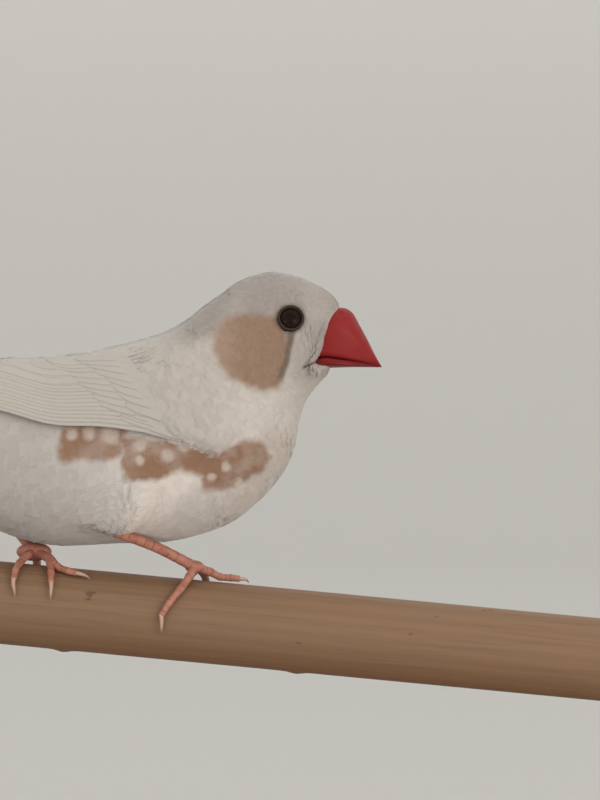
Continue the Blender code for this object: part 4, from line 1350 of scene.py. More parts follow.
def bill_material(settings):
    """Satin red horn with painted shade over its lower part, darker toward the face, with faint growth lines.
    """
    made, graph = new_material("Bill horn", coat_weight=0.02, specular_ior_level=0.12)
    place = graph.place()
    x, _y, z = graph.millimetres(place)
    light = graph.smooth(graph.noise(place, 500.0, 3.0), 0.35, 0.7)
    # Painted shade that darkens the lower part of the bill, the lower bill most
    low = 1.0 - graph.smooth(z + x * 0.04, 79.3, 80.4)
    from_face = x - (z - 79.0) * 0.46 - 2.2
    rim = graph.smooth(graph.noise(place, 1500.0, 2.0) * 0.6 - from_face * 0.8, 0.2, 0.9)
    colour = graph.over(
        settings.bill_colour,
        (light * 0.22, settings.bill_light),
        (low * 0.95, settings.bill_shade),
        (rim * 0.35, settings.bill_shade),
    )
    lines = graph.noise(graph.scaled(place, 500.0, 900.0, 2600.0), 1.0, 3.0)
    rough = 0.34 + graph.noise(place, 800.0, 2.0) * 0.16
    graph.feed(base_color=colour, roughness=rough, normal=graph.bump(lines, 0.00006, 0.35))
    return made


def eye_material(settings):
    """A glossy dark eye, its brown iris just paler than the pupil."""
    made, graph = new_material("Eye gloss", roughness=0.26, specular_ior_level=0.05)
    place = graph.place()
    x, _y, z = graph.millimetres(place)
    fibres = graph.noise(place, 2500.0, 3.0)
    iris = graph.smooth(graph.distance(x, z, EYE_PLACE), 0.75, 0.95) * (0.6 + fibres * 0.6)
    graph.feed(base_color=graph.mix(iris, settings.pupil_colour, settings.iris_colour))
    return made


def lid_material(settings):
    """Dark bare skin with a fine mottling."""
    made, graph = new_material("Lid skin", specular_ior_level=0.12)
    spots = graph.noise(graph.place(), 2200.0, 3.0)
    colour = graph.mix(graph.smooth(spots, 0.3, 0.7), settings.lid_colour, settings.lid_shade)
    graph.feed(base_color=colour, roughness=0.45 + spots * 0.2, normal=graph.bump(spots, 0.00005, 0.6))
    return made


def leg_material(settings):
    """Orange-pink scaly skin with dark lines between the scutes."""
    made, graph = new_material("Leg scales", specular_ior_level=0.4)
    place = graph.place()
    along, _across = graph.uv_shares()
    mottle = graph.noise(place, 700.0, 3.0)
    phase = graph.math("FRACT", along * settings.scutes)
    seam = 1.0 - graph.smooth(abs(phase - 0.93), 0.02, 0.09)
    worn = graph.smooth(graph.noise(place, 1100.0, 2.0), 0.45, 0.62)
    colour = graph.over(
        settings.leg_colour,
        (graph.smooth(mottle, 0.35, 0.7), settings.leg_shade),
        (seam * worn * 0.75, settings.scute_line),
    )
    cells = {"Vector": place, "Scale": 2600.0}
    cracks = graph.wire("ShaderNodeTexVoronoi", {"feature": "DISTANCE_TO_EDGE"}, cells)
    height = graph.smooth(cracks, 0.0, 0.12) * 0.5 - seam
    graph.feed(base_color=colour, roughness=0.42 + mottle * 0.2, normal=graph.bump(height, 0.00005, 0.7))
    return made


def claw_material(settings):
    """Pale horn that darkens toward the claw's tip."""
    made, graph = new_material("Claw horn", specular_ior_level=0.45)
    along, _across = graph.uv_shares()
    streaks = graph.noise(graph.place(), 1600.0, 3.0)
    colour = graph.over(
        settings.claw_colour,
        (graph.smooth(along, 0.45, 1.0), settings.claw_tip),
        (graph.smooth(streaks, 0.4, 0.7) * 0.3, settings.claw_tip),
    )
    graph.feed(base_color=colour, roughness=0.3 + streaks * 0.15, normal=graph.bump(streaks, 0.00003, 0.4))
    return made


def wood_material(name, light, dark, line, ring_gap, tilt):
    """Wood sawn along its grain: rings round a distant pith, long pores and a few dark specks."""
    made, graph = new_material(name, specular_ior_level=0.3)
    turned = graph.wire("ShaderNodeMapping", None, {"Vector": graph.place(), "Rotation": (0.0, -tilt, 0.0)})
    stretch = graph.scaled(turned, 14.0, 160.0, 160.0)
    _x, y, z = graph.millimetres(turned)
    radius = graph.distance(y, z, WOOD_PITH) + graph.noise(stretch, 1.0, 3.0) * 1.4
    ring = graph.math("SINE", radius * (2.0 * math.pi / ring_gap))
    pores = graph.noise(graph.scaled(turned, 70.0, 2200.0, 2200.0), 1.0, 4.0)
    broad = graph.noise(stretch, 0.4, 2.0)
    specks = graph.smooth(graph.noise(graph.scaled(turned, 260.0, 620.0, 620.0), 1.0, 2.0), 0.735, 0.78)
    colour = graph.over(
        light,
        (graph.smooth(ring, -0.8, 1.0), dark),
        (graph.smooth(pores, 0.5, 0.72) * 0.3, line),
        (graph.smooth(broad, 0.4, 0.7) * 0.4, light),
        (specks * 0.8, line),
    )
    height = pores * -0.6 - specks
    graph.feed(base_color=colour, roughness=0.5 + pores * 0.25, normal=graph.bump(height, 0.00012, 0.5))
    return made


def steel_material(settings):
    """Steel brushed round the rod."""
    made, graph = new_material("Rod steel", metallic=1.0)
    rings = graph.noise(graph.scaled(graph.place(), 300.0, 300.0, 6000.0), 1.0, 3.0)
    colour = graph.mix(rings * 0.4, settings.steel_colour, settings.steel_shade)
    graph.feed(base_color=colour, roughness=0.26 + rings * 0.2, normal=graph.bump(rings, 0.00002, 0.4))
    return made


def colour_property(name, description, default):
    return FloatVectorProperty(
        name=name, description=description, subtype="COLOR", size=3, min=0.0, max=1.0, default=default)


def length_property(name, description, default):
    return FloatProperty(
        name=name, description=description, subtype="DISTANCE", unit="LENGTH", min=0.0, precision=5,
        default=default)


class FinchPlumage(bpy.types.PropertyGroup):
    """Sizes and colours of the body feathers."""

    coat_depth: length_property("Coat depth", "How far the skin lies under the feathers' tips", 0.00036)
    feather_lift: FloatProperty(
        name="Feather lift", description="Angle at which each small feather rises off the skin",
        subtype="ANGLE", unit="ROTATION", default=math.radians(4.5))
    unevenness: FloatProperty(
        name="Unevenness", description="How far small feathers stray from their lie",
        subtype="ANGLE", unit="ROTATION", default=math.radians(6.0))
    silkiness: FloatProperty(
        name="Silkiness", description="How far the small feathers catch the light as one smooth surface",
        subtype="FACTOR", min=0.0, max=1.0, default=0.9)
    strands: IntProperty(name="Strands", description="Strands at each feather's tip", min=3, max=9, default=5)
    seed: IntProperty(name="Seed", description="Start of the random draws", default=11)
    belly_colour: colour_property("Belly", "White of the belly and the under tail", (0.558, 0.51, 0.472))
    breast_colour: colour_property(
        "Breast", "Warm white of the breast and the neck's front", (0.54, 0.475, 0.42))
    back_colour: colour_property(
        "Back", "Pale grey of the nape, the mantle and the rump", (0.425, 0.383, 0.338))
    # Painted shade that darkens the rear belly behind the legs
    rear_belly_shade_colour: colour_property("Vent", "Greyer white behind the legs", (0.422, 0.385, 0.356))
    shoulder_colour: colour_property(
        "Shoulder", "Pale grey of the small feathers of the wing", (0.45, 0.405, 0.36))
    crown_colour: colour_property("Crown", "Grey of the forehead and the crown", (0.305, 0.266, 0.242))
    face_colour: colour_property("Face", "White between the eye and the bill", (0.39, 0.343, 0.313))
    cheek_colour: colour_property("Cheek", "Tan of the cheek patch", (0.262, 0.168, 0.113))
    nape_colour: colour_property("Nape", "Darker grey behind the crown", (0.27, 0.238, 0.203))
    # Painted shadow in the crease behind the corner of the bill
    gape_shadow_colour: colour_property("Gape", "Dark crease behind the corner of the bill", (0.1, 0.07, 0.055))
    # Painted highlight: a pale patch over the near thigh only
    thigh_highlight_colour: colour_property("Thigh", "Pale fan of feathers over the near thigh", (0.68, 0.61, 0.555))
    cheek_rim: colour_property("Cheek rim", "Pinker tan at the back of the cheek patch", (0.34, 0.24, 0.185))
    tear_colour: colour_property("Tear line", "Brown of the line under the eye", (0.128, 0.087, 0.061))
    flank_colour: colour_property("Flank", "Tan of the flank", (0.262, 0.148, 0.09))
    spot_colour: colour_property("Flank spots", "White of the spots on the flank", (0.52, 0.44, 0.38))
    bar_colour: colour_property(
        "Bars", "Faint grey-brown of the breast band and tail bars", (0.42, 0.36, 0.31))


class FinchVanes(bpy.types.PropertyGroup):
    """Sizes and colours of the wing and tail feathers."""

    vane_colour: colour_property("Vane", "Pale grey of the vanes", (0.45, 0.412, 0.364))
    edge_colour: colour_property("Edge", "Paler edges of the vanes", (0.468, 0.43, 0.38))
    shaft_colour: colour_property("Shaft", "Slightly darker shafts", (0.415, 0.378, 0.333))
    bar_colour: colour_property("Bars", "Grey-brown bars of the tail coverts", (0.42, 0.36, 0.31))
    barbs_per_vane: FloatProperty(
        name="Barb lines", description="Turns of the barb pattern along a vane", min=10.0, default=520.0)
    seed: IntProperty(name="Seed", description="Start of the random draws", default=5)


class FinchBareParts(bpy.types.PropertyGroup):
    """Colours of the bill, the eyes, the legs and the claws."""

    bill_colour: colour_property("Bill", "Red of the bill", (0.242, 0.018, 0.018))
    # Painted shade over the bill's lower part; it also darkens the bill toward the face
    bill_shade: colour_property("Bill shade", "Darker red along the cutting edges", (0.16, 0.009, 0.0085))
    bill_light: colour_property("Bill light", "Lighter red of the mottling", (0.29, 0.031, 0.029))
    pupil_colour: colour_property("Pupil", "Near black of the pupil", (0.012, 0.006, 0.004))
    iris_colour: colour_property("Iris", "Dark brown of the iris", (0.018, 0.009, 0.006))
    lid_colour: colour_property("Lid", "Grey-brown of the bare lids", (0.055, 0.037, 0.028))
    lid_shade: colour_property("Lid shade", "Darker mottling of the lids", (0.033, 0.022, 0.017))
    leg_colour: colour_property("Leg", "Orange-pink of the legs", (0.45, 0.19, 0.13))
    leg_shade: colour_property("Leg shade", "Deeper tone of the legs", (0.36, 0.13, 0.085))
    scute_line: colour_property("Scute line", "Dark lines between scutes", (0.1, 0.045, 0.03))
    claw_colour: colour_property("Claw", "Pale horn at a claw's root", (0.5, 0.33, 0.25))
    claw_tip: colour_property("Claw tip", "Darker horn at a claw's tip", (0.33, 0.2, 0.15))
    scutes: FloatProperty(name="Scutes", description="Scutes along a shank or toe", min=1.0, default=11.0)


class FinchStand(bpy.types.PropertyGroup):
    """Colours of the perch and the display stand."""

    dowel_light: colour_property("Dowel light", "Light wood of the perch", (0.232, 0.135, 0.076))
    dowel_dark: colour_property("Dowel dark", "Dark wood of the perch", (0.213, 0.123, 0.069))
    dowel_line: colour_property("Dowel line", "Pores and specks of the perch", (0.12, 0.062, 0.036))
    base_light: colour_property("Base light", "Light wood of the base", (0.46, 0.31, 0.19))
    base_dark: colour_property("Base dark", "Dark wood of the base", (0.36, 0.23, 0.135))
    base_line: colour_property("Base line", "Pores of the base", (0.2, 0.115, 0.065))
    steel_colour: colour_property("Steel", "Steel of the rods", (0.58, 0.58, 0.59))
    steel_shade: colour_property("Steel shade", "Darker rings of the rods", (0.4, 0.4, 0.41))


class FinchStudio(bpy.types.PropertyGroup):
    """Camera, backdrop and lights."""

    floor_colour: colour_property("Floor", "Pale floor", (0.565, 0.555, 0.535))
    wall_colour: colour_property("Wall", "Pale wall", (0.93, 0.92, 0.89))
    wall_distance: length_property("Wall distance", "Radius of the round backdrop", 2.4)
    wall_height: length_property("Wall height", "Height of the round backdrop", 1.0)
    wall_bend: length_property("Wall bend", "Radius of the curve from the floor into the wall", 0.9)
    ambient: FloatProperty(
        name="Ambient", description="Strength of the light all round", min=0.0, default=0.96)
    key_power: FloatProperty(
        name="Key", description="Power of the large soft light above", unit="POWER", min=0.0, default=3.5)
    fill_power: FloatProperty(
        name="Fill", description="Power of the soft light in front", unit="POWER", min=0.0, default=2.2)
    camera_distance: length_property("Camera distance", "From the camera to the bird's middle plane", 0.8)
    camera_height: length_property("Camera height", "Height of the level camera", 0.0734)
    view_height: length_property("View height", "Height of the picture at the bird", 0.1231)


class FINCH_OT_skin(bpy.types.Operator):
    """Builds the skin of the head, neck, torso and thighs as one closed form"""

    bl_idname = "finch.skin"
    bl_label = "Skin"

    def execute(self, context):
        settings = context.scene.finch_plumage
        depth = settings.coat_depth / MM
        bm = bmesh.new()

        def skin_point(place, angle):
            point = trunk_point(place, angle)
            rise = skin_rise(point.x, down_from_back(angle))[0]
            return point + trunk_normal(place, angle) * (rise - depth)

        loft(bm, TRUNK_ROWS, SKIN_RINGS, SKIN_POINTS, skin_point)
        for thigh in [*(leg[0] for leg in LEGS.values()), *FANS]:
            rows = [blend(thigh, k / THIGH_STEPS) for k in range((len(thigh) - 1) * THIGH_STEPS + 1)]
            radii = [row[3] - depth * THIGH_DEPTH_SHARE for row in rows]
            limb(bm, None, [Vector(row[:3]) for row in rows], radii, THIGH_SIDES)
        skin = object_from("skin", bm, plumage_material("Skin under feathers", settings, False))
        remesh = skin.modifiers.new("one form", "REMESH")
        remesh.mode = "VOXEL"
        remesh.voxel_size = SKIN_VOXEL * MM
        remesh.use_smooth_shade = True
        soften = skin.modifiers.new("soften", "SMOOTH")
        soften.iterations = SKIN_SMOOTHING
        skin.data = evaluated_mesh(skin)
        self.blend_thighs(skin.data)
        self.open_for_bill(skin.data)
        write_skin_attributes(skin)
        settle(skin, "plumage", "head", "neck", "torso", "thigh_left", "thigh_right")
        return {"FINISHED"}

    def blend_thighs(self, mesh):
        """Smooths the skin round the thighs further, so that they run into the belly."""
        places = {}
        low, high = THIGH_BLEND_Z
        for vertex in mesh.vertices:
            point = vertex.co / MM
            if point.z < high and THIGH_BLEND_X[0] < point.x < THIGH_BLEND_X[1]:
                away = thigh_axis(point)[0] - THIGH_BLEND_START
                share = 1.0 - smooth_step(away / THIGH_BLEND_FADE)
                share *= smooth_step((point.z - low) / THIGH_BLEND_RISE)
                if share > 0.0:
                    places[vertex.index] = (share, [])
        for edge in mesh.edges:
            first, second = edge.vertices
            if first in places:
                places[first][1].append(second)
            if second in places:
                places[second][1].append(first)
        spots = [vertex.co.copy() for vertex in mesh.vertices]
        for _round in range(THIGH_SMOOTHING):
            moved = {}
            for index, (share, near) in places.items():
                middle = sum((spots[other] for other in near), Vector()) / len(near)
                moved[index] = spots[index].lerp(middle, 0.5 * share)
            for index, spot in moved.items():
                spots[index] = spot
        for index, (share, _near) in places.items():
            vertex = mesh.vertices[index]
            vertex.co = spots[index] + vertex.normal * THIGH_SWELL * share * MM
        mesh.update()

    def open_for_bill(self, mesh):
        """Draws the skin in under the bill, in front of the line where the feathers stop."""
        upper, lower = flat_rows(UPPER_BILL), flat_rows(LOWER_BILL)
        top, bottom = BILL_EDGE[0][0], BILL_EDGE[-1][0] + BILL_LAP
        for vertex in mesh.vertices:
            x, y, z = vertex.co / MM
            front = x - value_between(BILL_EDGE, z)
            if front < -BILL_LAP or not bottom < z < top:
                continue
            width = max(bill_half_width(upper, x, z, -1), 0.1)
            if z < UPPER_BILL[0][1][1]:
                width = max(bill_half_width(lower, x, z, 1), 0.1)
            share = min((front + BILL_LAP) / BILL_FADE, 1.0) * min((top - z) / BILL_TOP_FADE, 1.0)
            share *= min((z - bottom) / BILL_FADE, 1.0)
            inner = min(abs(y), max(width - BILL_SINK, 0.05))
            vertex.co.y = math.copysign(abs(y) + (inner - abs(y)) * share, y) * MM


class FINCH_OT_coat(bpy.types.Operator):
    """Grows the small body feathers on the skin"""

    bl_idname = "finch.coat"
    bl_label = "Coat of small feathers"

    def execute(self, context):
        settings = context.scene.finch_plumage
        finish = plumage_material("Body feathers", settings, True)
        tufts = bpy.data.collections.new("tufts")
        for k in range(TUFT_KINDS):
            tufts.objects.link(tuft_object(f"tuft_{k}", settings.strands, settings.seed + k))
        skin = bpy.data.objects["skin"]
        for number, (name, (*_place, spacing)) in enumerate(COAT_REGIONS.items()):
            grow_coat(f"coat_{name}", skin, number, spacing, tufts, finish, settings)
        thighs = f"coat_{THIGH_REGION}"
        grow_coat(thighs, skin, len(COAT_REGIONS), THIGH_SPACING, tufts, finish, settings)
        for tuft in list(tufts.objects):
            bpy.data.objects.remove(tuft)
        bpy.data.collections.remove(tufts)
        return {"FINISHED"}


class FINCH_OT_wings(bpy.types.Operator):
    """Builds both folded wings: every flight feather and covert in its tier"""

    bl_idname = "finch.wings"
    bl_label = "Wings"

    def execute(self, context):
        settings = context.scene.finch_vanes
        finish = vane_material("Wing vanes", settings, False)
        draw = random.Random(settings.seed)
        bm, uv = mapped_bmesh()
        for tier in WING_TIERS:
            add_wing_tier(bm, uv, tier, draw)
        feathers = object_from("wing_feathers_left", bm, finish)
        settle(feathers, "flight_feathers", "wing_left")
        settle(mirrored_copy(feathers, "wing_feathers_right"), "flight_feathers", "wing_right")
        return {"FINISHED"}


class FINCH_OT_tail(bpy.types.Operator):
    """Builds the twelve tail feathers, and the coverts over and under their roots"""

    bl_idname = "finch.tail"
    bl_label = "Tail"

    def execute(self, context):
        settings = context.scene.finch_vanes
        draw = random.Random(settings.seed)
        bm, uv = mapped_bmesh()
        for pair in range(TAIL_PAIRS):
            for side, _name in SIDES:
                jitter = draw.uniform(-RECTRIX_JITTER, RECTRIX_JITTER)
                add_vane(bm, uv, "flight", self.rectrix_place(pair, side, jitter))
        tail = object_from("tail_feathers", bm, vane_material("Tail vanes", settings, False))
        settle(tail, "flight_feathers", "tail")
        bm, uv = mapped_bmesh()
        for name, (count, *_sizes) in TAIL_COVERTS.items():
            for k in range(count):
                jitter = draw.uniform(-COVERT_JITTER, COVERT_JITTER)
                add_vane(bm, uv, "covert", self.covert_place(name, k, jitter))
        coverts = object_from("tail_coverts", bm, vane_material("Tail covert vanes", settings, True))
        settle(coverts, "flight_feathers")
        return {"FINISHED"}

    def rectrix_place(self, pair, side, jitter):
        """The place function of a tail feather, counted outward and downward from the middle pair."""
        root_x = TAIL_ROOT[0] - TAIL_STEP_ROOT * pair
        tip_x = TAIL_TIP[0] + TAIL_STEP_TIP * pair + abs(jitter)

        def place(along, across):
            share = vane_share("flight", along)
            inner = RECTRIX_GAP + (TAIL_STEP_OUT * pair + 1.0 - min(share, 1.0)) * along
            reach = (across + share) / 2.0 * RECTRIX_WIDTH
            x = root_x + (tip_x - root_x) * along
            z = TAIL_ROOT[1] + (TAIL_TIP[1] - TAIL_ROOT[1]) * along
            drop = TAIL_STEP_DOWN * pair + TAIL_SLOPE * reach + TAIL_CURVE * reach * reach
            return Vector((x, side * (inner + reach), z - drop)), Vector((0.0, 0.0, 1.0))

        return place

    def covert_place(self, name, number, jitter):
        """The place function of a covert over or under the tail's root."""
        count, root, tip, spread, width, outer_drop = TAIL_COVERTS[name]
        curve = UPPER_COVERT_CURVE if name.startswith("upper") else UNDER_COVERT_CURVE
        aside = number / (count - 1) - 0.5
        layer = COVERT_LAYER * (number % 2)

        def place(along, across):
            spreading = COVERT_ROOT_SPREAD + (1.0 - COVERT_ROOT_SPREAD) * along
            y = spread * aside * spreading + across * width / 2.0
            x = root[0] + (tip[0] + jitter - root[0]) * along
            z = root[1] + (tip[1] - root[1]) * along
            drop = curve * y * y + outer_drop * 2.0 * abs(aside) + layer
            return Vector((x, y, z - drop)), Vector((0.0, 0.0, 1.0))

        return place


class FINCH_OT_bill(bpy.types.Operator):
    """Builds the upper and lower bill, with the ridge and the nostrils"""

    bl_idname = "finch.bill"
    bl_label = "Bill"

    def execute(self, context):
        finish = bill_material(context.scene.finch_bare)
        upper_rows, lower_rows = flat_rows(UPPER_BILL), flat_rows(LOWER_BILL)

        def upper_point(place, angle):
            point = section_point(upper_rows, place, angle, 0.0, -1)
            ridge = max(math.cos(angle), 0.0) ** CULMEN_SHARPNESS
            point.z += CULMEN_RIDGE * ridge * (1.0 - place / (len(upper_rows) - 1))
            hole = Vector((point.x - NOSTRIL[0], point.z - NOSTRIL[1])).length / NOSTRIL_RADIUS
            if math.cos(angle) > 0.0:
                point.y -= math.copysign(NOSTRIL_DEPTH * math.exp(-hole ** 4), point.y)
            return point

        def lower_point(place, angle):
            point = section_point(lower_rows, place, angle, 0.0, 1)
            point.z += BILL_CLOSING * max(math.cos(angle), 0.0) ** BILL_FLATNESS
            return point

        for name, rows, point_at in (("upper", upper_rows, upper_point), ("lower", lower_rows, lower_point)):
            bm = bmesh.new()
            loft(bm, rows, BILL_RINGS, BILL_POINTS, point_at)
            settle(object_from(f"horn_{name}", bm, finish), "bill", f"bill_{name}")
        return {"FINISHED"}


class FINCH_OT_eyes(bpy.types.Operator):
    """Builds the eyes and the beaded lids round them"""

    bl_idname = "finch.eyes"
    bl_label = "Eyes and lids"

    def execute(self, context):
        settings = context.scene.finch_bare
        gloss, lid_finish = eye_material(settings), lid_material(settings)
        outward = trunk_normal(*EYE_SPOT)
        for side, name in SIDES:
            rim, way_out = mirrored(EYE_CENTRE, side), mirrored(outward, side)
            bm = bmesh.new()
            bmesh.ops.create_uvsphere(bm, u_segments=64, v_segments=40, radius=EYE_RADIUS)
            bmesh.ops.translate(bm, verts=bm.verts, vec=rim - way_out * EYE_DEPTH)
            settle(object_from(f"eyeball_{name}", bm, gloss), "eye", f"eye_{name}")
            settle(self.lid(f"lid_{name}", rim, way_out, lid_finish), "plumage")
        return {"FINISHED"}

    def lid(self, name, rim, way_out, finish):
        """A ring of bare skin round the eye, with a row of small beads."""
        turn = way_out.to_track_quat("Z", "X").to_matrix()

        def bead_point(step, section):
            around = 2.0 * math.pi * step / LID_STEPS
            thick = LID_THICKNESS * (1.0 + LID_BEAD_RISE * abs(math.sin(around * LID_BEADS / 2.0)))
            reach = LID_RADIUS + thick * math.cos(section)
            lift = LID_LIFT + thick * math.sin(section)
            return rim + turn @ Vector((reach * math.cos(around), reach * math.sin(around), lift))

        bm = bmesh.new()
        wrap(bm, range(LID_STEPS + 1), LID_SIDES, bead_point, caps=False)
        bmesh.ops.remove_doubles(bm, verts=bm.verts, dist=0.001)
        return object_from(name, bm, finish)


class FINCH_OT_legs(bpy.types.Operator):
    """Builds the bare shanks, the toes with their scutes and knuckles, and the claws"""

    bl_idname = "finch.legs"
    bl_label = "Legs, feet and claws"

    def execute(self, context):
        settings = context.scene.finch_bare
        finish, horn = leg_material(settings), claw_material(settings)
        for name, (_thigh, heel, foot, toes) in LEGS.items():
            self.shank(name, Vector(heel), Vector(foot), finish)
            bm, uv = mapped_bmesh()
            knot = bmesh.ops.create_uvsphere(bm, u_segments=24, v_segments=16, radius=KNOT_RADIUS)
            bmesh.ops.scale(bm, verts=knot["verts"], vec=KNOT_SCALES[name])
            bmesh.ops.translate(bm, verts=knot["verts"], vec=foot)
            for toe, route in toes.items():
                end = self.toe(bm, uv, Vector(foot), route)
                self.claw(f"horn_{name}_{toe}", end, route[-2:], horn, f"claw_{name}_{toe}")
            settle(object_from(f"toes_{name}", bm, finish), "leg", f"foot_{name}")
        return {"FINISHED"}

    def shank(self, name, heel, foot, finish):
        """The bare shank, a little thicker at both of its ends."""
        middle = (heel + foot) / 2.0 + Vector((0.0, 0.0, TARSUS_BOW))
        points = smooth_points([heel, middle, foot], 40)
        at_heel, at_foot = TARSUS_SWELLS
        radii = []
        for share in shares(len(points)):
            ends = at_heel * math.exp(-share / TARSUS_SWELL_RUN)
            ends += at_foot * math.exp((share - 1.0) / TARSUS_SWELL_RUN)
            radius = TARSUS_RADIUS * (1.0 + ends * TARSUS_SWELL_SHARE)
            scute = share * TARSUS_SCUTES % 1.0
            radii.append(radius * (1.0 + SCUTE_RISE * (scute - 0.5)))
        bm, uv = mapped_bmesh()
        limb(bm, uv, points, radii)
        settle(object_from(f"shank_{name}", bm, finish), "leg", f"tarsus_{name}")

    def toe(self, bm, uv, joint, route):
        """One toe from the foot's knot to its claw. Returns the toe's end."""
        points = [joint]
        for k, (x, angle) in enumerate(route[:-2]):
            arch = TOE_ARCH if k == 0 else 0.0
            points.append(perch_point(x, math.radians(angle), TOE_RADIUS + TOE_REST + arch))
        path = smooth_points(points, 14)
        knuckles = len(route) - 2
        radii = []
        for share in shares(len(path)):
            joint_share = share * knuckles % 1.0
            knuckle = math.exp(-(min(joint_share, 1.0 - joint_share) / KNUCKLE_WIDTH) ** 2)
            scute = share * TOE_SCUTES % 1.0
            taper = TOE_RADIUS + (TOE_TIP_RADIUS - TOE_RADIUS) * share
            taper += (TOE_BASE_RADIUS - TOE_RADIUS) * math.exp(-share / TOE_BASE_RUN)
            tip = min((1.0 - share) / TOE_TIP_RUN + TOE_TIP_SHARE, 1.0)
            radii.append(taper * tip * (1.0 + KNUCKLE_RISE * knuckle) * (1.0 + SCUTE_RISE * (scute - 0.5)))
        limb(bm, uv, path, radii)
        return path[-1]

    def claw(self, name, toe_end, route, horn, node):
        """A curved claw that grows out of the toe's end and bends down to the perch."""
        (root_x, root_angle), (tip_x, tip_angle) = route
        rest = TOE_RADIUS + TOE_REST
        near, far = CLAW_MIDDLE
        middle_angle = math.radians(root_angle * near + tip_angle * far)
        middle = perch_point(root_x * near + tip_x * far, middle_angle, rest)
        root = perch_point(root_x, math.radians(root_angle), rest + CLAW_ROOT_LIFT)
        tip = perch_point(tip_x, math.radians(tip_angle), CLAW_TIP_LIFT)
        back = toe_end + (toe_end - root).normalized() * CLAW_OVERLAP
        path = smooth_points([back, root, middle, tip], 12)
        radii = []
        for share in shares(len(path)):
            thick = (CLAW_RADIUS - CLAW_TIP_RADIUS) * (1.0 - share ** CLAW_FULLNESS)
            radii.append(CLAW_TIP_RADIUS + thick)
        bm, uv = mapped_bmesh()
        limb(bm, uv, path, radii, 14)
        settle(object_from(name, bm, horn), "claw", node)


class FINCH_OT_perch(bpy.types.Operator):
    """Builds the length of dowel, with its grain, small knots and worn ends"""

    bl_idname = "finch.perch"
    bl_label = "Perch"

    def execute(self, context):
        settings = context.scene.finch_stand
        finish = wood_material(
            "Dowel wood", settings.dowel_light, settings.dowel_dark, settings.dowel_line, DOWEL_RINGS,
            PERCH_TILT)
        radius, half = PERCH_DIAMETER / 2.0, PERCH_LENGTH / 2.0
        start, run = -half + PERCH_BEVEL, PERCH_LENGTH - 2.0 * PERCH_BEVEL
        full = [start, *(start + run * k / PERCH_STEPS for k in range(1, PERCH_STEPS)), half - PERCH_BEVEL]
        profile = [(-half, -PERCH_BEVEL), *((along, 0.0) for along in full), (half, -PERCH_BEVEL)]
        turn = Matrix.Rotation(PERCH_TILT, 3, "Y")

        def dowel_point(place, angle):
            along, step = place
            slow, quick = PERCH_WEAR_SCALES
            spot = Vector((along * slow, math.cos(angle) * quick, math.sin(angle) * quick))
            wear = PERCH_WEAR * noise.noise(spot)
            reach = radius + step - PERCH_WEAR + wear + self.knot_rise(along, math.degrees(angle))
            local = Vector((along, -math.sin(angle) * reach, math.cos(angle) * reach))
            return turn @ local + Vector((0.0, 0.0, PERCH_HEIGHT))

        bm = bmesh.new()
        wrap(bm, profile, PERCH_SIDES, dowel_point)
        dowel = object_from("dowel", bm, finish)
        dowel.data.set_sharp_from_angle(angle=SHARP_ANGLE)
        settle(dowel, "perch_wood", "perch")
        return {"FINISHED"}

    def knot_rise(self, along, angle):
        """How far small knots lift the surface at a place along and round the dowel."""
        rise = 0.0
        for x, place, height in PERCH_KNOTS:
            around = (angle - place + 180.0) % 360.0 - 180.0
            away = ((along - x) / KNOT_REACH_ALONG) ** 2 + (around / KNOT_REACH_ROUND) ** 2
            rise += height * math.exp(-away)
        return rise


class FINCH_OT_stand(bpy.types.Operator):
    """Builds the flat wooden base and the two steel rods"""

    bl_idname = "finch.stand"
    bl_label = "Stand"

    def execute(self, context):
        settings = context.scene.finch_stand
        wood = wood_material(
            "Base wood", settings.base_light, settings.base_dark, settings.base_line, BASE_RINGS, 0.0)
        bm = bmesh.new()
        bmesh.ops.create_cube(bm, size=1.0)
        bmesh.ops.scale(bm, vec=(BASE_LENGTH, BASE_WIDTH, BASE_THICKNESS), verts=bm.verts)
        bmesh.ops.translate(bm, vec=(0.0, 0.0, BASE_THICKNESS / 2.0), verts=bm.verts)
        upright = [edge for edge in bm.edges if abs(edge.verts[0].co.z - edge.verts[1].co.z) > 1.0]
        bmesh.ops.bevel(bm, geom=upright, offset=BASE_CORNER, segments=16, affect="EDGES", profile=0.5)
        rim = [edge for edge in bm.edges if min(vertex.co.z for vertex in edge.verts) > BASE_THICKNESS - 0.1]
        bmesh.ops.bevel(bm, geom=rim, offset=BASE_BEVEL, segments=6, affect="EDGES", profile=0.5)
        base = object_from("base_block", bm, wood)
        base.data.set_sharp_from_angle(angle=SHARP_ANGLE)
        settle(base, "base_wood", "stand_base")
        steel = steel_material(settings)
        for side, name in ((-1, "rear"), (1, "front")):
            x, radius = side * ROD_REACH, ROD_DIAMETER / 2.0
            top = PERCH_HEIGHT - x * math.tan(PERCH_TILT) - PERCH_DIAMETER * ROD_TOP_SHARE

            def rod_point(z, angle):
                return x + radius * math.cos(angle), radius * math.sin(angle), z

            bm = bmesh.new()
            wrap(bm, (BASE_THICKNESS - 0.2, BASE_THICKNESS + 1.0, top), ROD_SIDES, rod_point)
            rod = object_from(f"rod_{name}", bm, steel)
            rod.data.set_sharp_from_angle(angle=SHARP_ANGLE)
            settle(rod, "rod", f"stand_rod_{name}")
        return {"FINISHED"}


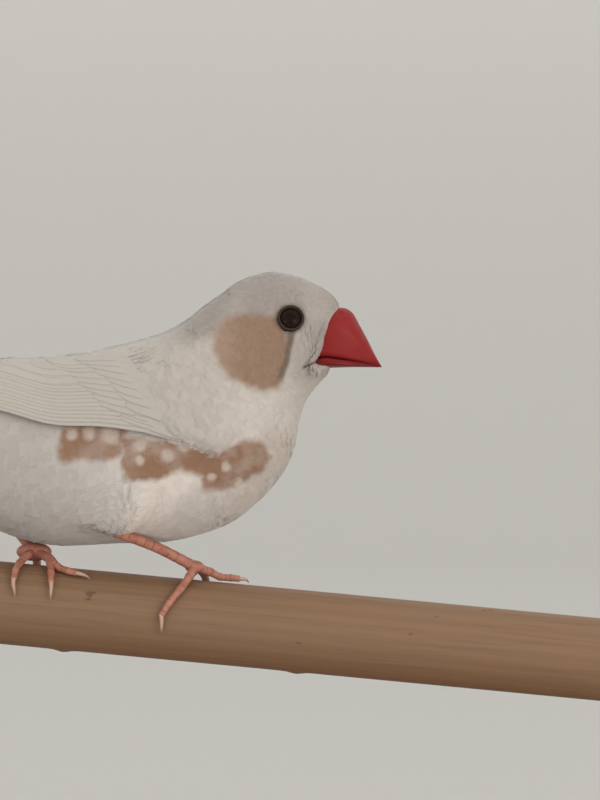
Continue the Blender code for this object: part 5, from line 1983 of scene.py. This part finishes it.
class FINCH_OT_studio(bpy.types.Operator):
    """Sets up the camera, the pale floor and backdrop, and the soft lights"""

    bl_idname = "finch.studio"
    bl_label = "Studio"

    def execute(self, context):
        settings = context.scene.finch_studio
        self.backdrop(settings)
        world = bpy.data.worlds.new("Studio air")
        world.use_nodes = True
        air = world.node_tree.nodes["Background"]
        air.inputs["Color"].default_value = opaque(AIR_COLOUR)
        air.inputs["Strength"].default_value = settings.ambient
        context.scene.world = world
        context.scene.view_settings.view_transform = "Standard"
        self.lamp("key", settings.key_power, *KEY_LAMP)
        self.lamp("fill", settings.fill_power, *FILL_LAMP)
        camera = bpy.data.cameras.new("camera")
        camera.lens = camera.sensor_width * settings.camera_distance / settings.view_height
        view = placed("camera", camera)
        view.location = (0.0, -settings.camera_distance, settings.camera_height)
        view.rotation_euler = (math.radians(90.0), 0.0, 0.0)
        context.scene.camera = view
        return {"FINISHED"}

    def lamp(self, name, power, place, size, colour):
        """A wide soft light turned toward the bird."""
        light = bpy.data.lights.new(name, "AREA")
        light.shape = "RECTANGLE"
        light.size, light.size_y = size
        light.energy = power
        light.color = colour
        lamp = placed(name, light)
        lamp.location = place
        toward = Vector(LAMP_AIM) - Vector(place)
        lamp.rotation_euler = toward.to_track_quat("-Z", "Y").to_euler()

    def backdrop(self, settings):
        """A wide pale floor that curves up into a round wall, like a bowl."""
        made, graph = new_material("Backdrop paper", roughness=0.9, specular_ior_level=0.1)
        place = graph.place()
        fibre = graph.noise(place, 300.0, 4.0)
        share = graph.smooth(graph.split(place)[2], 0.0, settings.wall_bend)
        colour = graph.mix(share, settings.floor_colour, settings.wall_colour)
        graph.feed(base_color=graph.tint(fibre * 0.05, colour, (0.9, 0.9, 0.9)))
        bend, reach = settings.wall_bend, settings.wall_distance
        profile = [((reach - bend) * k / 10.0, 0.0) for k in range(1, 10)]
        for k in range(25):
            angle = math.pi / 2.0 * k / 24
            profile.append((reach - bend + bend * math.sin(angle), bend - bend * math.cos(angle)))
        profile.append((reach, settings.wall_height))

        def paper_point(place, angle):
            radius, z = place
            return radius * math.cos(angle), radius * math.sin(angle), z

        bm = bmesh.new()
        rings = wrap(bm, profile, BACKDROP_SIDES, paper_point, caps=False)
        bm.faces.new(rings[0])
        bmesh.ops.recalc_face_normals(bm, faces=bm.faces)
        bmesh.ops.reverse_faces(bm, faces=bm.faces)
        mesh = mesh_from("backdrop", bm)
        mesh.materials.append(made)
        paper = placed("backdrop", mesh)


class FINCH_PT_panel(bpy.types.Panel):
    """Lists the steps that build the finch"""

    bl_label = "Zebra finch"
    bl_idname = "FINCH_PT_panel"
    bl_space_type = "VIEW_3D"
    bl_region_type = "UI"
    bl_category = "Finch"

    def draw(self, context):
        for operator in OPERATORS:
            self.layout.operator(operator.bl_idname)


GROUPS = {
    "finch_plumage": FinchPlumage,
    "finch_vanes": FinchVanes,
    "finch_bare": FinchBareParts,
    "finch_stand": FinchStand,
    "finch_studio": FinchStudio,
}
OPERATORS = (
    FINCH_OT_studio, FINCH_OT_skin, FINCH_OT_wings, FINCH_OT_coat, FINCH_OT_tail, FINCH_OT_bill,
    FINCH_OT_eyes, FINCH_OT_legs, FINCH_OT_perch, FINCH_OT_stand,
)


def register():
    for name, group in GROUPS.items():
        bpy.utils.register_class(group)
        setattr(bpy.types.Scene, name, PointerProperty(type=group))
    for made in (*OPERATORS, FINCH_PT_panel):
        bpy.utils.register_class(made)


def unregister():
    for made in (FINCH_PT_panel, *reversed(OPERATORS)):
        bpy.utils.unregister_class(made)
    for name, group in reversed(GROUPS.items()):
        delattr(bpy.types.Scene, name)
        bpy.utils.unregister_class(group)


def main():
    register()
    for operator in OPERATORS:
        family, name = operator.bl_idname.split(".")
        getattr(getattr(bpy.ops, family), name)()


if __name__ == "__main__":
    main()
